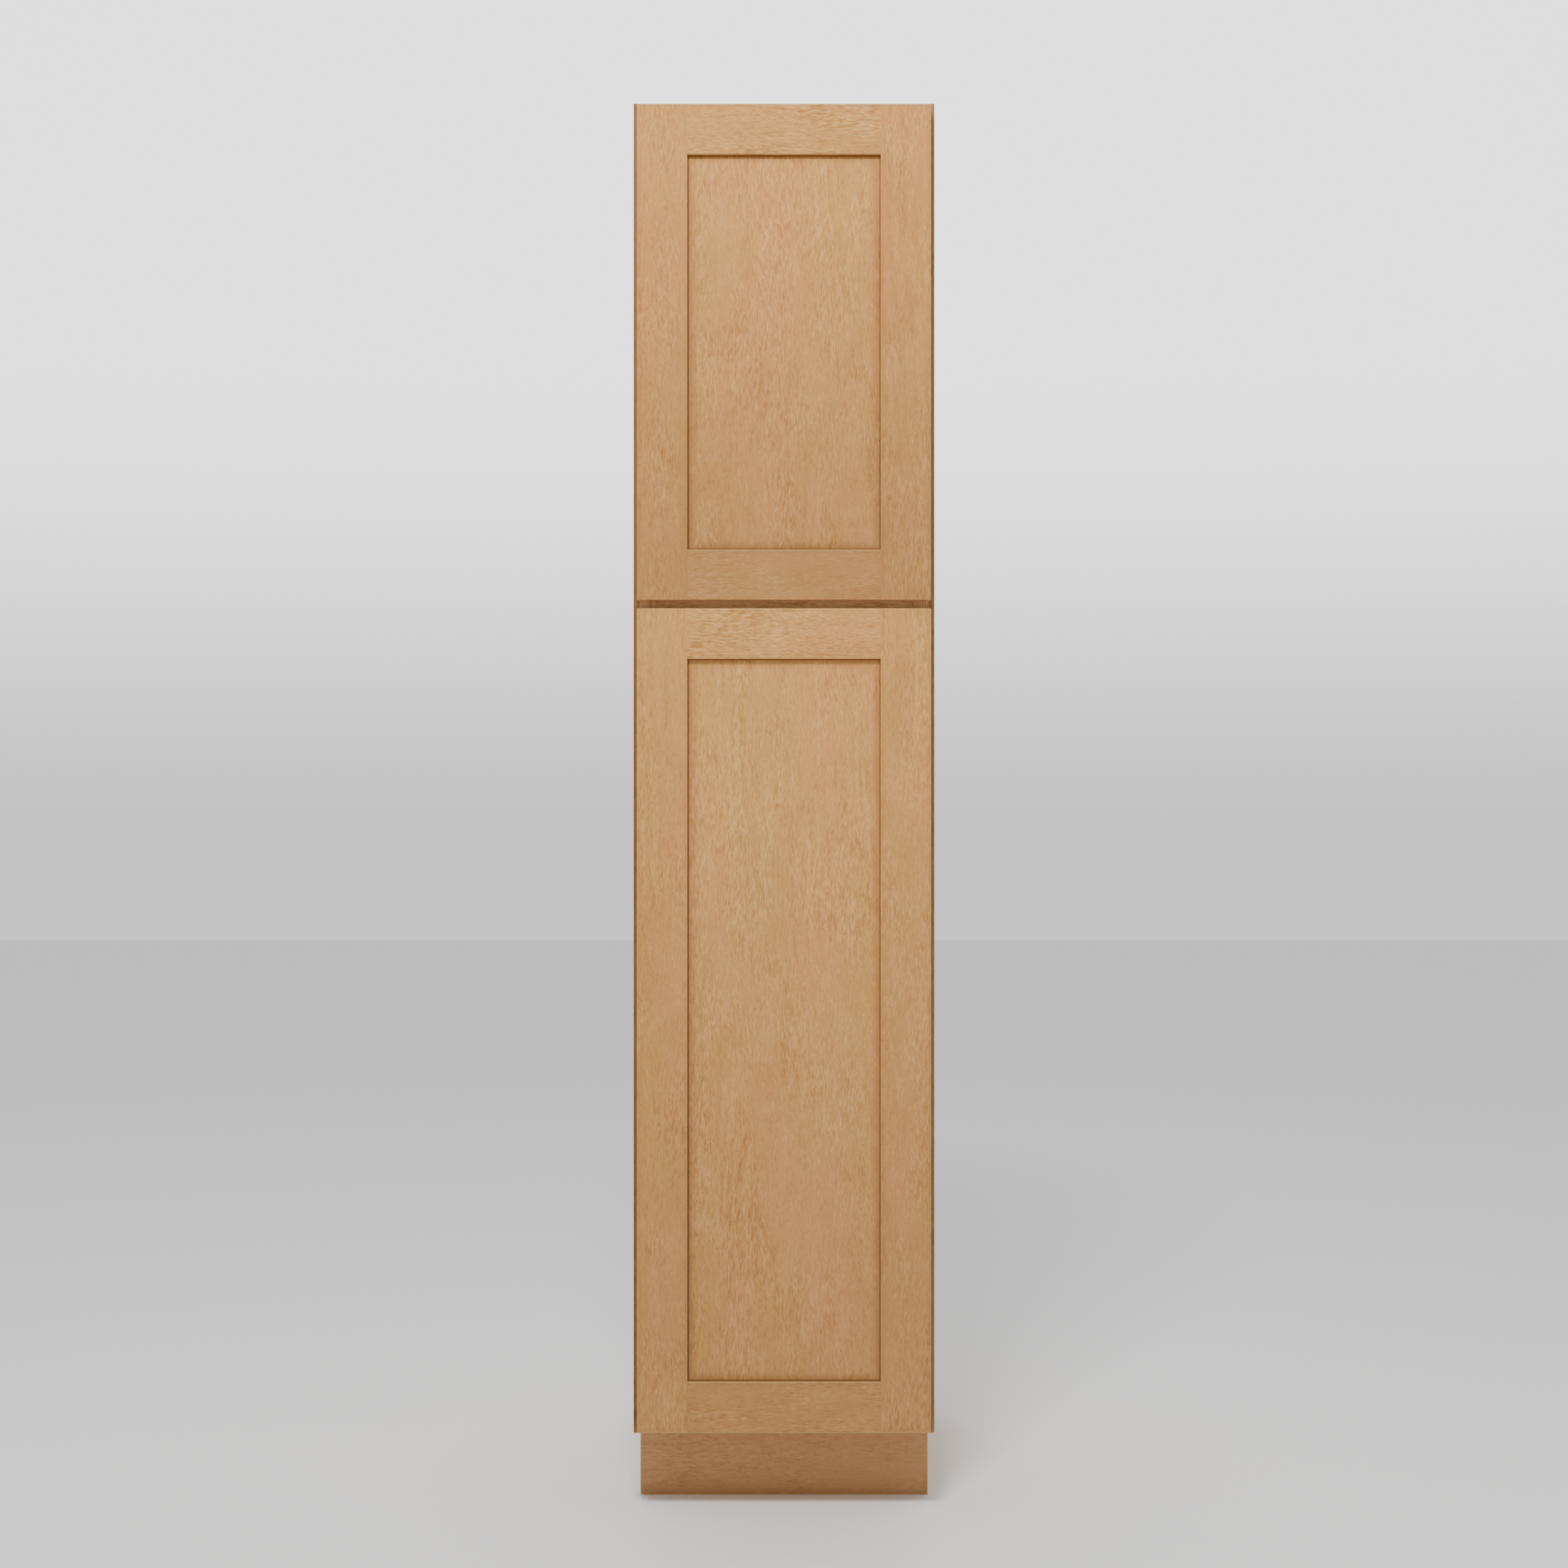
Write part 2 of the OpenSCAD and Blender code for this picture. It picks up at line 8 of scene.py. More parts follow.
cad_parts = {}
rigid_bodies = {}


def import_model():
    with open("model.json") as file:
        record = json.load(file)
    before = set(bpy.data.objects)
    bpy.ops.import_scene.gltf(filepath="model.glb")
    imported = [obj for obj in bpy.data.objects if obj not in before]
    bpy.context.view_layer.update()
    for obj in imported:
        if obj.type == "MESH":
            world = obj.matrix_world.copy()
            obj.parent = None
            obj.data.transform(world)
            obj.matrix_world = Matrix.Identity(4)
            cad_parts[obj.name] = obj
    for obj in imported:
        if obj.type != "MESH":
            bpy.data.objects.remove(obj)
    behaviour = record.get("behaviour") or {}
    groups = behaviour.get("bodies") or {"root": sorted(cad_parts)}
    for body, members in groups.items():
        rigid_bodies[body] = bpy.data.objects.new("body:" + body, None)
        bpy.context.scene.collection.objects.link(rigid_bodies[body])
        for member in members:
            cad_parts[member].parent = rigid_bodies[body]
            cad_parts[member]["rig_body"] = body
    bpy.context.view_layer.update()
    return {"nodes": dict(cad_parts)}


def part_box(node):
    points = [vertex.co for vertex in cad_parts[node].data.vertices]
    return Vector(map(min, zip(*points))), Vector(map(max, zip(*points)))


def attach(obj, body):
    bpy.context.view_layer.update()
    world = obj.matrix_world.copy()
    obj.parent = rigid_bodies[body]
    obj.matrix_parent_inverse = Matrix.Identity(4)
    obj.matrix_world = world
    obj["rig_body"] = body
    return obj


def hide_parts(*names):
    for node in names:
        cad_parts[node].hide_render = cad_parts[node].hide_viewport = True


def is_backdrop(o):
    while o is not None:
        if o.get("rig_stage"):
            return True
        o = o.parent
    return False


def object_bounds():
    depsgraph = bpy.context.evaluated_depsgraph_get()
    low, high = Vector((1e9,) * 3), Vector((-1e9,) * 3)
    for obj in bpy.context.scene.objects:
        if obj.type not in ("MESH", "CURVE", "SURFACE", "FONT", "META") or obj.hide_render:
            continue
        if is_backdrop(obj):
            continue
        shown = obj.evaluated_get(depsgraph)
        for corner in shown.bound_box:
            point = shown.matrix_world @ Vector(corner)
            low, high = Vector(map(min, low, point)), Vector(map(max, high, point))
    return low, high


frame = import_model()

MM = 0.001

# ---------------------------------------------------------------------------
# Plywood sides. Veneer-core panels, sawn square, with a stained face outside
# and a clear-coated one inside. Dados take the decks, and two columns of
# drilled holes take the shelf pins. The arrises are broken with sandpaper.
SANDED_EDGE = 0.6 * MM
ON_EDGE = 0.01 * MM
SHORTEST_ARRIS = 3 * MM
SAME_POINT = 0.001 * MM
FLAT_WITHIN = math.radians(0.3)


def on_box_edge(edge, low, high):
    """True if the edge lies along one of the twelve edges of the board's box."""
    hits = 0
    for axis in range(3):
        a, b = (v.co[axis] for v in edge.verts)
        for side in (low[axis], high[axis]):
            if abs(a - side) < ON_EDGE and abs(b - side) < ON_EDGE:
                hits += 1
                break
    return hits == 2 and edge.calc_length() > SHORTEST_ARRIS


def eased_board(node, ease):
    """A board cut as the CAD solid is, with its long arrises rounded over."""
    low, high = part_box(node)
    mesh = frame["nodes"][node].data.copy()
    mesh.materials.clear()
    work = bmesh.new()
    work.from_mesh(mesh)
    bmesh.ops.remove_doubles(work, verts=work.verts, dist=SAME_POINT)
    bmesh.ops.dissolve_limit(work, angle_limit=FLAT_WITHIN, verts=work.verts,
                             edges=work.edges)
    arrises = [e for e in work.edges if on_box_edge(e, low, high)]
    for face in work.faces:
        face.smooth = False
    rounded = bmesh.ops.bevel(work, geom=arrises, offset=ease, segments=3,
                              profile=0.5, affect="EDGES", clamp_overlap=True)
    for face in rounded["faces"]:
        face.smooth = True
    bmesh.ops.triangulate(work, faces=[f for f in work.faces if len(f.verts) > 4])
    work.to_mesh(mesh)
    work.free()
    board = bpy.data.objects.new(node + "_board", mesh)
    bpy.context.scene.collection.objects.link(board)
    return board


def add(tree, kind, values=None, **settings):
    """Adds a shader or geometry node; a value that is a socket is linked."""
    made = tree.nodes.new(kind)
    for key, value in settings.items():
        setattr(made, key, value)
    for key, value in (values or {}).items():
        if isinstance(value, bpy.types.NodeSocket):
            tree.links.new(value, made.inputs[key])
        else:
            made.inputs[key].default_value = value
    return made


def maths(tree, how, a, b=0.0, c=0.0):
    return add(tree, "ShaderNodeMath", {0: a, 1: b, 2: c}, operation=how).outputs[0]


def centred(tree, value):
    """A value from 0 to 1, shifted so that its middle is zero."""
    return maths(tree, "SUBTRACT", value, 0.5)


def part_of(tree, vector, axis):
    return add(tree, "ShaderNodeSeparateXYZ", {0: vector}).outputs[axis]


def tint(tree, factor, a, b, how="MIX"):
    """Mixes two colours; inputs 0, 6 and 7 are the factor and the colours."""
    return add(tree, "ShaderNodeMix", {0: factor, 6: a, 7: b},
               data_type="RGBA", blend_type=how).outputs[2]


def tone_of(colour, by=1.0):
    """A colour made lighter or darker, as the four numbers that a socket takes."""
    return (*(min(1, v * by) for v in colour), 1)


def spread(tree, value, low, high, to_low=0.0, to_high=1.0):
    return add(tree, "ShaderNodeMapRange",
               {"Value": value, "From Min": low, "From Max": high,
                "To Min": to_low, "To Max": to_high},
               interpolation_type="SMOOTHSTEP").outputs[0]


def noise(tree, where, scale, detail=2.0, rough=0.5):
    """Fractal noise whose scale along each axis is set on its own, per metre."""
    sized = add(tree, "ShaderNodeMapping", {"Vector": where, "Scale": scale})
    return add(tree, "ShaderNodeTexNoise",
               {"Vector": sized.outputs[0], "Scale": 1.0, "Detail": detail,
                "Roughness": rough}).outputs["Fac"]


WEAVE_SWING = 4.5 * MM
DRIFT_SWING = 50 * MM
RINGS_PER_METRE = 60
RING_WANDER = 11.0
RING_SHARE = 0.045
FIGURE_SHARES = {"broad": 0.24, "cloud": 0.34, "silk": 0.20, "fibre": 0.17}
CHATTER_SHARE = 0.27


def lumber_group():
    """Sawn maple. Z runs with the grain, X across the face and Y into it."""
    tree = bpy.data.node_groups.new("maple grain", "ShaderNodeTree")
    face = tree.interface
    face.new_socket("Place", in_out="INPUT", socket_type="NodeSocketVector")
    for out in ("Tone", "Hue", "Fibre", "Light fleck", "Dark fleck"):
        face.new_socket(out, in_out="OUTPUT", socket_type="NodeSocketFloat")
    straight = add(tree, "NodeGroupInput").outputs["Place"]
    # the fibres weave a little from side to side as they run up the board
    weave = centred(tree, noise(tree, straight, (45, 45, 28), 2.0))
    drift = centred(tree, noise(tree, straight, (7, 7, 2.2), 2.0))
    sway = maths(tree, "MULTIPLY_ADD", weave, WEAVE_SWING,
                 maths(tree, "MULTIPLY", drift, DRIFT_SWING))
    shove = add(tree, "ShaderNodeCombineXYZ", {0: sway, 1: sway})
    place = add(tree, "ShaderNodeVectorMath", {0: straight, 1: shove.outputs[0]},
                operation="ADD").outputs[0]
    # growth rings cut at a low angle: faint arched lines, in parts of the board
    arch = noise(tree, straight, (4.5, 4.5, 1.5), 2.0, 0.45)
    across = maths(tree, "MULTIPLY", part_of(tree, straight, 0), RINGS_PER_METRE)
    turns = maths(tree, "MULTIPLY_ADD", arch, RING_WANDER, across)
    ring = maths(tree, "SINE", maths(tree, "MULTIPLY", turns, 2 * math.pi))
    shown = spread(tree, noise(tree, straight, (9, 9, 3), 2.0), 0.46, 0.66)
    ring = maths(tree, "MULTIPLY", ring, shown)
    # fibres, and short marks left by the planer where the grain is rougher
    fibre = spread(tree, noise(tree, place, (760, 760, 120), 1.5, 0.5), 0.36, 0.64)
    chatter = spread(tree, noise(tree, place, (350, 350, 62), 2.0, 0.5), 0.38, 0.62)
    rough_patch = spread(tree, noise(tree, straight, (20, 20, 6), 2.0), 0.38, 0.62)
    roughness = maths(tree, "MULTIPLY_ADD", rough_patch, 0.7, 0.3)
    layers = {"broad": noise(tree, straight, (6, 6, 1.6), 2.0),
              "cloud": noise(tree, straight, (30, 30, 13), 3.0, 0.55),
              "silk": noise(tree, place, (230, 230, 18), 2.0, 0.55),
              "fibre": fibre}
    tone = maths(tree, "MULTIPLY_ADD", ring, RING_SHARE, 0.5)
    for layer, share in FIGURE_SHARES.items():
        tone = maths(tree, "MULTIPLY_ADD", centred(tree, layers[layer]), share, tone)
    busy = maths(tree, "MULTIPLY", centred(tree, chatter), roughness)
    tone = maths(tree, "MULTIPLY_ADD", busy, CHATTER_SHARE, tone)
    hue = noise(tree, straight, (15, 15, 4.5), 3.0, 0.55)
    grit = noise(tree, place, (520, 520, 105), 1.0, 0.4)
    pore = noise(tree, place, (640, 640, 75), 1.0, 0.4)
    pale = maths(tree, "MULTIPLY", spread(tree, grit, 0.60, 0.74), roughness)
    dark = maths(tree, "MULTIPLY", spread(tree, pore, 0.62, 0.74), roughness)
    add(tree, "NodeGroupOutput", {"Tone": tone, "Hue": hue, "Fibre": fibre,
                                  "Light fleck": pale, "Dark fleck": dark})
    return tree


GRAIN = lumber_group()
TURN = {"Z": (0, 0, 0), "X": (0, math.pi / 2, 0)}


def new_paint(name):
    """Starts a finish: its material, its empty tree and its coordinates."""
    paint = bpy.data.materials.new(name)
    paint.use_nodes = True
    tree = paint.node_tree
    tree.nodes.clear()
    return paint, tree, add(tree, "ShaderNodeTexCoord").outputs


def end_paint(tree, colour, rough, relief, strength, depth, constants):
    """Ends a finish with its colour, roughness, fine relief and fixed numbers."""
    dent = add(tree, "ShaderNodeBump",
               {"Strength": strength, "Distance": depth, "Height": relief})
    shade = add(tree, "ShaderNodeBsdfPrincipled",
                {"Base Color": colour, "Roughness": rough,
                 "Normal": dent.outputs[0], **constants})
    add(tree, "ShaderNodeOutputMaterial", {"Surface": shade.outputs[0]})


def nearest_arris(tree, place, low, high):
    """Distance from a point on a board's surface to the board's nearest edge."""
    gaps = []
    for axis in range(3):
        here = part_of(tree, place, axis)
        gaps.append(maths(tree, "MINIMUM", maths(tree, "SUBTRACT", here, low[axis]),
                          maths(tree, "SUBTRACT", high[axis], here)))
    a, b, c = gaps
    least = maths(tree, "MINIMUM", a, b)
    most = maths(tree, "MAXIMUM", a, b)
    return maths(tree, "MAXIMUM", least, maths(tree, "MINIMUM", most, c))


def stain_on(tree, wood, stain, figure=1.0, light=0.42, dark=0.24, depth=0.72):
    """Colour of the figure under a stain: dark lines, pale bands and flecks."""
    hue = spread(tree, wood["Hue"], 0.35, 0.65)
    colour = tint(tree, hue, tone_of(stain["mid"]), tone_of(stain["warm"]))
    dark_half = spread(tree, wood["Tone"], 0.5 - 0.32 / figure, 0.52)
    colour = tint(tree, dark_half, tone_of(stain["deep"]), colour)
    pale_half = spread(tree, wood["Tone"], 0.48, 0.5 + 0.34 / figure)
    colour = tint(tree, pale_half, colour, tone_of(stain["pale"]))
    colour = tint(tree, maths(tree, "MULTIPLY", wood["Light fleck"], light),
                  colour, tone_of(stain["pale"], 1.22))
    return tint(tree, maths(tree, "MULTIPLY", wood["Dark fleck"], dark),
                colour, tone_of(stain["deep"], depth))


PLY_LAYERS = 7


def show_plies(tree, where, colour, board_box, axis, stain, banded):
    """Layers on the sawn edges of a sheet, or a band along its front edge."""
    low, high = board_box
    layers = maths(tree, "MULTIPLY",
                   maths(tree, "SUBTRACT", part_of(tree, where["Object"], axis),
                         low[axis]),
                   math.pi * PLY_LAYERS / (high[axis] - low[axis]))
    layers = spread(tree, maths(tree, "SINE", layers), -0.35, 0.35)
    sawn = tint(tree, layers, tone_of(stain["deep"], 0.62), tone_of(stain["mid"], 0.95))
    flat = maths(tree, "ABSOLUTE", part_of(tree, where["Normal"], axis))
    bare = maths(tree, "LESS_THAN", flat, 0.5)
    if banded:
        behind_band = maths(tree, "GREATER_THAN", part_of(tree, where["Normal"], 1), -0.5)
        bare = maths(tree, "MULTIPLY", bare, behind_band)
    return tint(tree, bare, colour, sawn)


NATURAL = dict(deep=(0.50, 0.345, 0.195), mid=(0.66, 0.50, 0.315),
               warm=(0.67, 0.485, 0.300), pale=(0.76, 0.61, 0.42))
HONEY = dict(deep=(0.435, 0.200, 0.053), mid=(0.603, 0.309, 0.083),
             warm=(0.642, 0.301, 0.094), pale=(0.765, 0.425, 0.148))
STAINED_FACE = {**HONEY, "warm": HONEY["mid"]}
WORN_AND_HIGHLIT_BAND = (1.0 * MM, 3.0 * MM)
GRIMY = (2.0 * MM, 12.0 * MM)
RAGGED_BY = 2.2 * MM
# painted shade along the edges of a panel in its frame, as (start, reach, amount): a dark
# shadow line and a softer band
PAINTED_SHADOW_LINE = (0.4 * MM, 3.0 * MM, 0.95)
SHADED = (0.0, 18.0 * MM, 0.36)


def timber(name, board_box, grain, shift, stain, figure=1.0, gloss=0.50, coat=0.08,
           wear=0.30, dirt=0.16, plies=None, banded=False, outside=None,
           sheltered=None, fade=None):
    """Finished wood for one board: figure, flecks, rubbed arrises with a painted highlight,
    painted light and shade, satin coat.

    figure is how strongly the grain shows.
    plies is the axis through the sheet where sawn edges show its layers, and
    banded covers them with maple along the front edge.
    outside is -1 or 1 for a sheet that is stained on its left or right face.
    sheltered is a box along whose edges shade and a dark shadow line are painted, as inside
    a door frame.
    fade is (axis, from, to, tint, tint): painted light and shade that changes along the
    axis.
    """
    paint, tree, where = new_paint(name)
    place = where["Object"]
    turned = add(tree, "ShaderNodeMapping",
                 {"Vector": place, "Rotation": TURN[grain]}).outputs[0]
    turned = add(tree, "ShaderNodeVectorMath", {0: turned, 1: shift},
                 operation="ADD").outputs[0]
    lumber = add(tree, "ShaderNodeGroup", node_tree=GRAIN)
    tree.links.new(turned, lumber.inputs["Place"])
    wood = lumber.outputs
    colour = stain_on(tree, wood, stain, figure)
    if outside:
        faced = maths(tree, "GREATER_THAN",
                      maths(tree, "MULTIPLY", part_of(tree, where["Normal"], 0),
                            outside), 0.5)
        face = stain_on(tree, wood, STAINED_FACE, light=0.0, dark=0.3, depth=0.75)
        colour = tint(tree, faced, colour, face)
    if plies is not None:
        colour = show_plies(tree, where, colour, board_box, plies, stain, banded)
    # stain rubs thin on the arrises, which also carry a painted highlight, and dirt settles
    # just inside them
    edge = nearest_arris(tree, place, *board_box)
    ragged = maths(tree, "MULTIPLY_ADD", noise(tree, place, (160, 160, 160), 3.0),
                   RAGGED_BY, edge)
    worn_and_highlit = spread(tree, ragged, *WORN_AND_HIGHLIT_BAND, 1.0, 0.0)
    grime = maths(tree, "MULTIPLY", spread(tree, ragged, *GRIMY, 1.0, 0.0), dirt)
    colour = tint(tree, grime, colour, tone_of(stain["deep"], 0.80))
    colour = tint(tree, maths(tree, "MULTIPLY", worn_and_highlit, wear), colour,
                  tone_of(stain["pale"], 1.25))
    # painted shade: the panel darkens towards the edges of its frame's opening, in a soft
    # band and a dark line, where the frame shades it
    if sheltered:
        corner = nearest_arris(tree, place, *sheltered)
        for start, reach, amount in (SHADED, PAINTED_SHADOW_LINE):
            colour = tint(tree, spread(tree, corner, start, reach, amount, 0.0),
                          colour, tone_of(stain["deep"], 0.38))
    # painted light and shade: the colour is multiplied by a tint that changes along one
    # axis, as from the head of a door to its foot
    if fade:
        axis, start, end, start_tint, end_tint = fade
        along = spread(tree, part_of(tree, place, axis), start, end)
        level = tint(tree, along, (*start_tint, 1), (*end_tint, 1))
        colour = tint(tree, 1.0, colour, level, "MULTIPLY")
    smear = noise(tree, place, (14, 14, 14), 3.0)
    rough = maths(tree, "MULTIPLY_ADD", centred(tree, smear), 0.16, gloss)
    rough = maths(tree, "MULTIPLY_ADD", worn_and_highlit, 0.10, rough)
    relief = maths(tree, "MULTIPLY_ADD", wood["Dark fleck"], -0.6,
                   maths(tree, "MULTIPLY", wood["Fibre"], 0.8))
    end_paint(tree, colour, rough, relief, 0.18, 0.12 * MM,
              {"Coat Weight": coat, "Coat Roughness": 0.35, "Specular IOR Level": 0.2})
    return paint


def make_board(node, slot, ease, grain, shift, stain, board_box=None, **look):
    """Makes a board with its finish and sets it in the place of its CAD solid."""
    board = eased_board(node, ease)
    board.data.materials.append(timber(node + " finish", board_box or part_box(node),
                                       grain, shift, stain, **look))
    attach(board, frame["nodes"][node]["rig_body"])
    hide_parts(node)


for number, (node, sign) in enumerate((("left_side_panel", -1),
                                       ("right_side_panel", 1))):
    make_board(node, "plywood", SANDED_EDGE, "Z", (0.4 * number, 0.3, 0.7), NATURAL,
               plies=0, outside=sign)

# ---------------------------------------------------------------------------
# Top panel, bottom deck and fixed shelf. Clear-coated plywood housed in the
# dados of the sides and glued, each with its front edge against a rail of the
# face frame.
for number, node in enumerate(("top_panel", "bottom_deck", "fixed_shelf")):
    make_board(node, "plywood", SANDED_EDGE, "X",
               (0.25, 0.1 + 0.3 * number, 0.2 * number), NATURAL, plies=2)

# ---------------------------------------------------------------------------
# Back panel and hanging rails. A thin ply sheet slides in grooves; the three
# rails behind it are glued and nailed between the sides and take the screws
# that hold the cabinet to the wall.
THIN_EDGE = 0.3 * MM
make_board("back_panel", "plywood", THIN_EDGE, "Z", (0.05, 0.6, 0.3), NATURAL, coat=0.1)
for number, node in enumerate(("hanging_rail_top", "hanging_rail_middle",
                               "hanging_rail_bottom")):
    make_board(node, "plywood", SANDED_EDGE, "X", (0.7, 0.2, 0.33 * number), NATURAL,
               coat=0.0, gloss=0.6, plies=1)

# ---------------------------------------------------------------------------
# Toe board and glue blocks. The stained plywood board closes the front of the
# toe space and is nailed over the edges of the sides; three-cornered blocks
# are glued in the corners behind it and under the deck.
TOE_STAIN = dict(deep=(0.420, 0.215, 0.083), mid=(0.535, 0.288, 0.116),
                 warm=(0.555, 0.286, 0.116), pale=(0.600, 0.340, 0.145))
make_board("toe_kick_board", "toe_wood", SANDED_EDGE, "X", (0.3, 0.4, 0.15), TOE_STAIN,
           coat=0.1, plies=1)
make_board("corner_blocks", "plywood", THIN_EDGE, "Z", (0.1, 0.1, 0.9), NATURAL,
           coat=0.0, gloss=0.65, wear=0.1)

# ---------------------------------------------------------------------------
# Face frame. Solid maple stiles and rails, sanded flush and stained, and held
# from behind by two pocket screws at each joint.
STILE_EASE = 0.9 * MM
RAIL_EASE = STILE_EASE * 0.6
# a paler stain than the doors', as painted light that lifts the shaded strip of rail
# between the doors
PAINTED_LIGHT_FRAME_STAIN = dict(deep=(0.500, 0.300, 0.125), mid=(0.740, 0.480, 0.225),
                   warm=(0.755, 0.475, 0.225), pale=(0.830, 0.570, 0.290))
# painted shadow of the doors along the outer arris of each stile, darkest on the left one
DOOR_SHADOW_BAND = (6 * MM, 12 * MM)
LEFT_SHADOW_TINT, RIGHT_SHADOW_TINT = (0.36, 0.28, 0.205), (0.54, 0.42, 0.31)
UNTINTED = (1, 1, 1)
left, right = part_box("frame_stile_left")[0].x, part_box("frame_stile_right")[1].x
STILES = {"frame_stile_left": (left + DOOR_SHADOW_BAND[0], left + DOOR_SHADOW_BAND[1],
                               LEFT_SHADOW_TINT, UNTINTED),
          "frame_stile_right": (right - DOOR_SHADOW_BAND[1], right - DOOR_SHADOW_BAND[0],
                                UNTINTED, RIGHT_SHADOW_TINT)}
# each stile gets the painted shadow of its door on the strip beside it
for number, (node, fade) in enumerate(STILES.items()):
    make_board(node, "stained_wood", STILE_EASE, "Z",
               (0.31 * number, 0.2, 0.45 * number), PAINTED_LIGHT_FRAME_STAIN,
               wear=0.0, fade=(0, *fade))
for number, node in enumerate(("frame_rail_top", "frame_rail_middle",
                               "frame_rail_bottom")):
    make_board(node, "stained_wood", RAIL_EASE, "X",
               (0.2 * number, 0.33, 0.5 + 0.3 * number), PAINTED_LIGHT_FRAME_STAIN)

# ---------------------------------------------------------------------------
# Doors. Five-piece recessed-panel doors of stained maple: stub tongues on the
# rails fit the grooves of the stiles, and a veneered panel floats in them.
DOOR_EASE = 1.3 * MM
# each board's grain, its tone beside the others, its figure and its finish
DOOR_BOARDS = {"hinge_stile": ("Z", 1.00, 0.9, "stained_wood"),
               "free_stile": ("Z", 0.98, 0.9, "stained_wood"),
               "top_rail": ("X", 1.00, 1.45, "stained_wood"),
               "bottom_rail": ("X", 0.94, 0.9, "stained_wood"),
               "panel": ("Z", 1.03, 1.0, "stained_panel")}
# painted light and shade on each door, as tints at its foot and at its head: darker towards
# the foot, as under light from above
DOOR_SHADE_RAMPS = {"upper_door": ((0.78, 0.77, 0.78), (0.93, 0.875, 0.78)),
              "lower_door": ((0.83, 0.83, 0.88), (1.06, 1.05, 1.04))}
# how far right of each stile the painted shadow line is set, so that it is wider on the
# left
SHADOW_LEFT, SHADOW_RIGHT = 0.8 * MM, 0.2 * MM
# a painted highlight on the upper arris of a bottom rail, where light from above catches
# it, and none on its lower arris
TOP_ARRIS_HIGHLIGHT, LOWER_ARRIS_DROP = 0.75, 20 * MM


def panel_opening(door):
    """The box inside a door's frame, along whose edges shade and a shadow line are painted
    on the panel.
    """
    low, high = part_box(door + "_panel")
    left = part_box(door + "_hinge_stile")[1].x + SHADOW_LEFT
    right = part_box(door + "_free_stile")[0].x + SHADOW_RIGHT
    return ((left, low.y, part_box(door + "_bottom_rail")[1].z),
            (right, high.y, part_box(door + "_top_rail")[0].z))


for d, (door, ramp_tints) in enumerate(DOOR_SHADE_RAMPS.items()):
    ends = (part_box(door + "_bottom_rail")[0].z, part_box(door + "_top_rail")[1].z)
    for number, (part, row) in enumerate(DOOR_BOARDS.items()):
        grain, tone, figure, slot = row
        node = f"{door}_{part}"
        look = dict(figure=figure, fade=(2, *ends, *([v * tone for v in t] for t in ramp_tints)))
        ease = DOOR_EASE
        # a bottom rail's box reaches lower, so that the painted highlight lies on its upper
        # arris only
        if part == "bottom_rail":
            low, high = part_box(node)
            look.update(board_box=(low - Vector((0, 0, LOWER_ARRIS_DROP)), high),
                        wear=TOP_ARRIS_HIGHLIGHT)
        if part == "panel":
            ease = THIN_EDGE
            look.update(sheltered=panel_opening(door))
        make_board(node, slot, ease, grain,
                   (0.17 + 0.41 * number + 0.13 * d, 0.07 * number,
                    0.37 * number + 0.9 * d), HONEY, **look)

# ---------------------------------------------------------------------------
# Loose shelves. Clear-coated plywood with the veneer's grain across the
# cabinet and a maple band along the front edge, resting on four pins each.
for number in range(4):
    make_board(f"shelf_{number + 1}", "plywood", SANDED_EDGE, "X",
               (0.15 * number, 0.5, 0.21 * number), NATURAL, plies=2, banded=True)

# ---------------------------------------------------------------------------
# Hinge cups. Drawn from nickel-plated sheet steel and pressed into bores in
# the backs of the doors: a round cup with a rolled ring, two wings for the
# screws, and two lugs inside that hold the hinge pin.
CUP_RADIUS = 17.5
CUP_WALL = 0.8
CUP_DEPTH = 12.5
DOOR_GAP = 3.0
PIN_PLACE = (7.5, -12.1)
HINGES = [f"hinge_cup_{n}" for n in range(1, 6)]


def plated_steel(name, colour, rough, bloom):
    """Plated pressed steel: clouded plating, drawing marks and handling smears."""
    paint, tree, where = new_paint(name)
    place = where["Object"]
    cloud = noise(tree, place, (180, 180, 180), 3.0)
    smear = noise(tree, place, (900, 250, 250), 3.0, 0.6)
    scratch = noise(tree, place, (700, 700, 9000), 2.0)
    tone = tint(tree, spread(tree, cloud, 0.3, 0.7), tone_of(colour, 0.80),
                tone_of(colour))
    tone = tint(tree, maths(tree, "MULTIPLY", spread(tree, smear, 0.55, 0.75), 0.35),
                tone, tone_of(bloom))
    level = maths(tree, "MULTIPLY_ADD", centred(tree, smear), 0.30, rough)
    level = maths(tree, "MULTIPLY_ADD", spread(tree, scratch, 0.6, 0.75), 0.12, level)
    end_paint(tree, tone, level, maths(tree, "ADD", scratch, cloud), 0.2, 0.02 * MM,
              {"Metallic": 1.0})
    return paint


# each metal finish with a slot name
NICKEL = (plated_steel("nickel plate", (0.72, 0.69, 0.64), 0.27, (0.52, 0.48, 0.42)),
          "nickel_steel")
ZINC = (plated_steel("zinc plate", (0.60, 0.61, 0.60), 0.38, (0.42, 0.44, 0.47)),
        "zinc_steel")
SMOOTH_WITHIN = math.radians(38)
WELD = 0.002


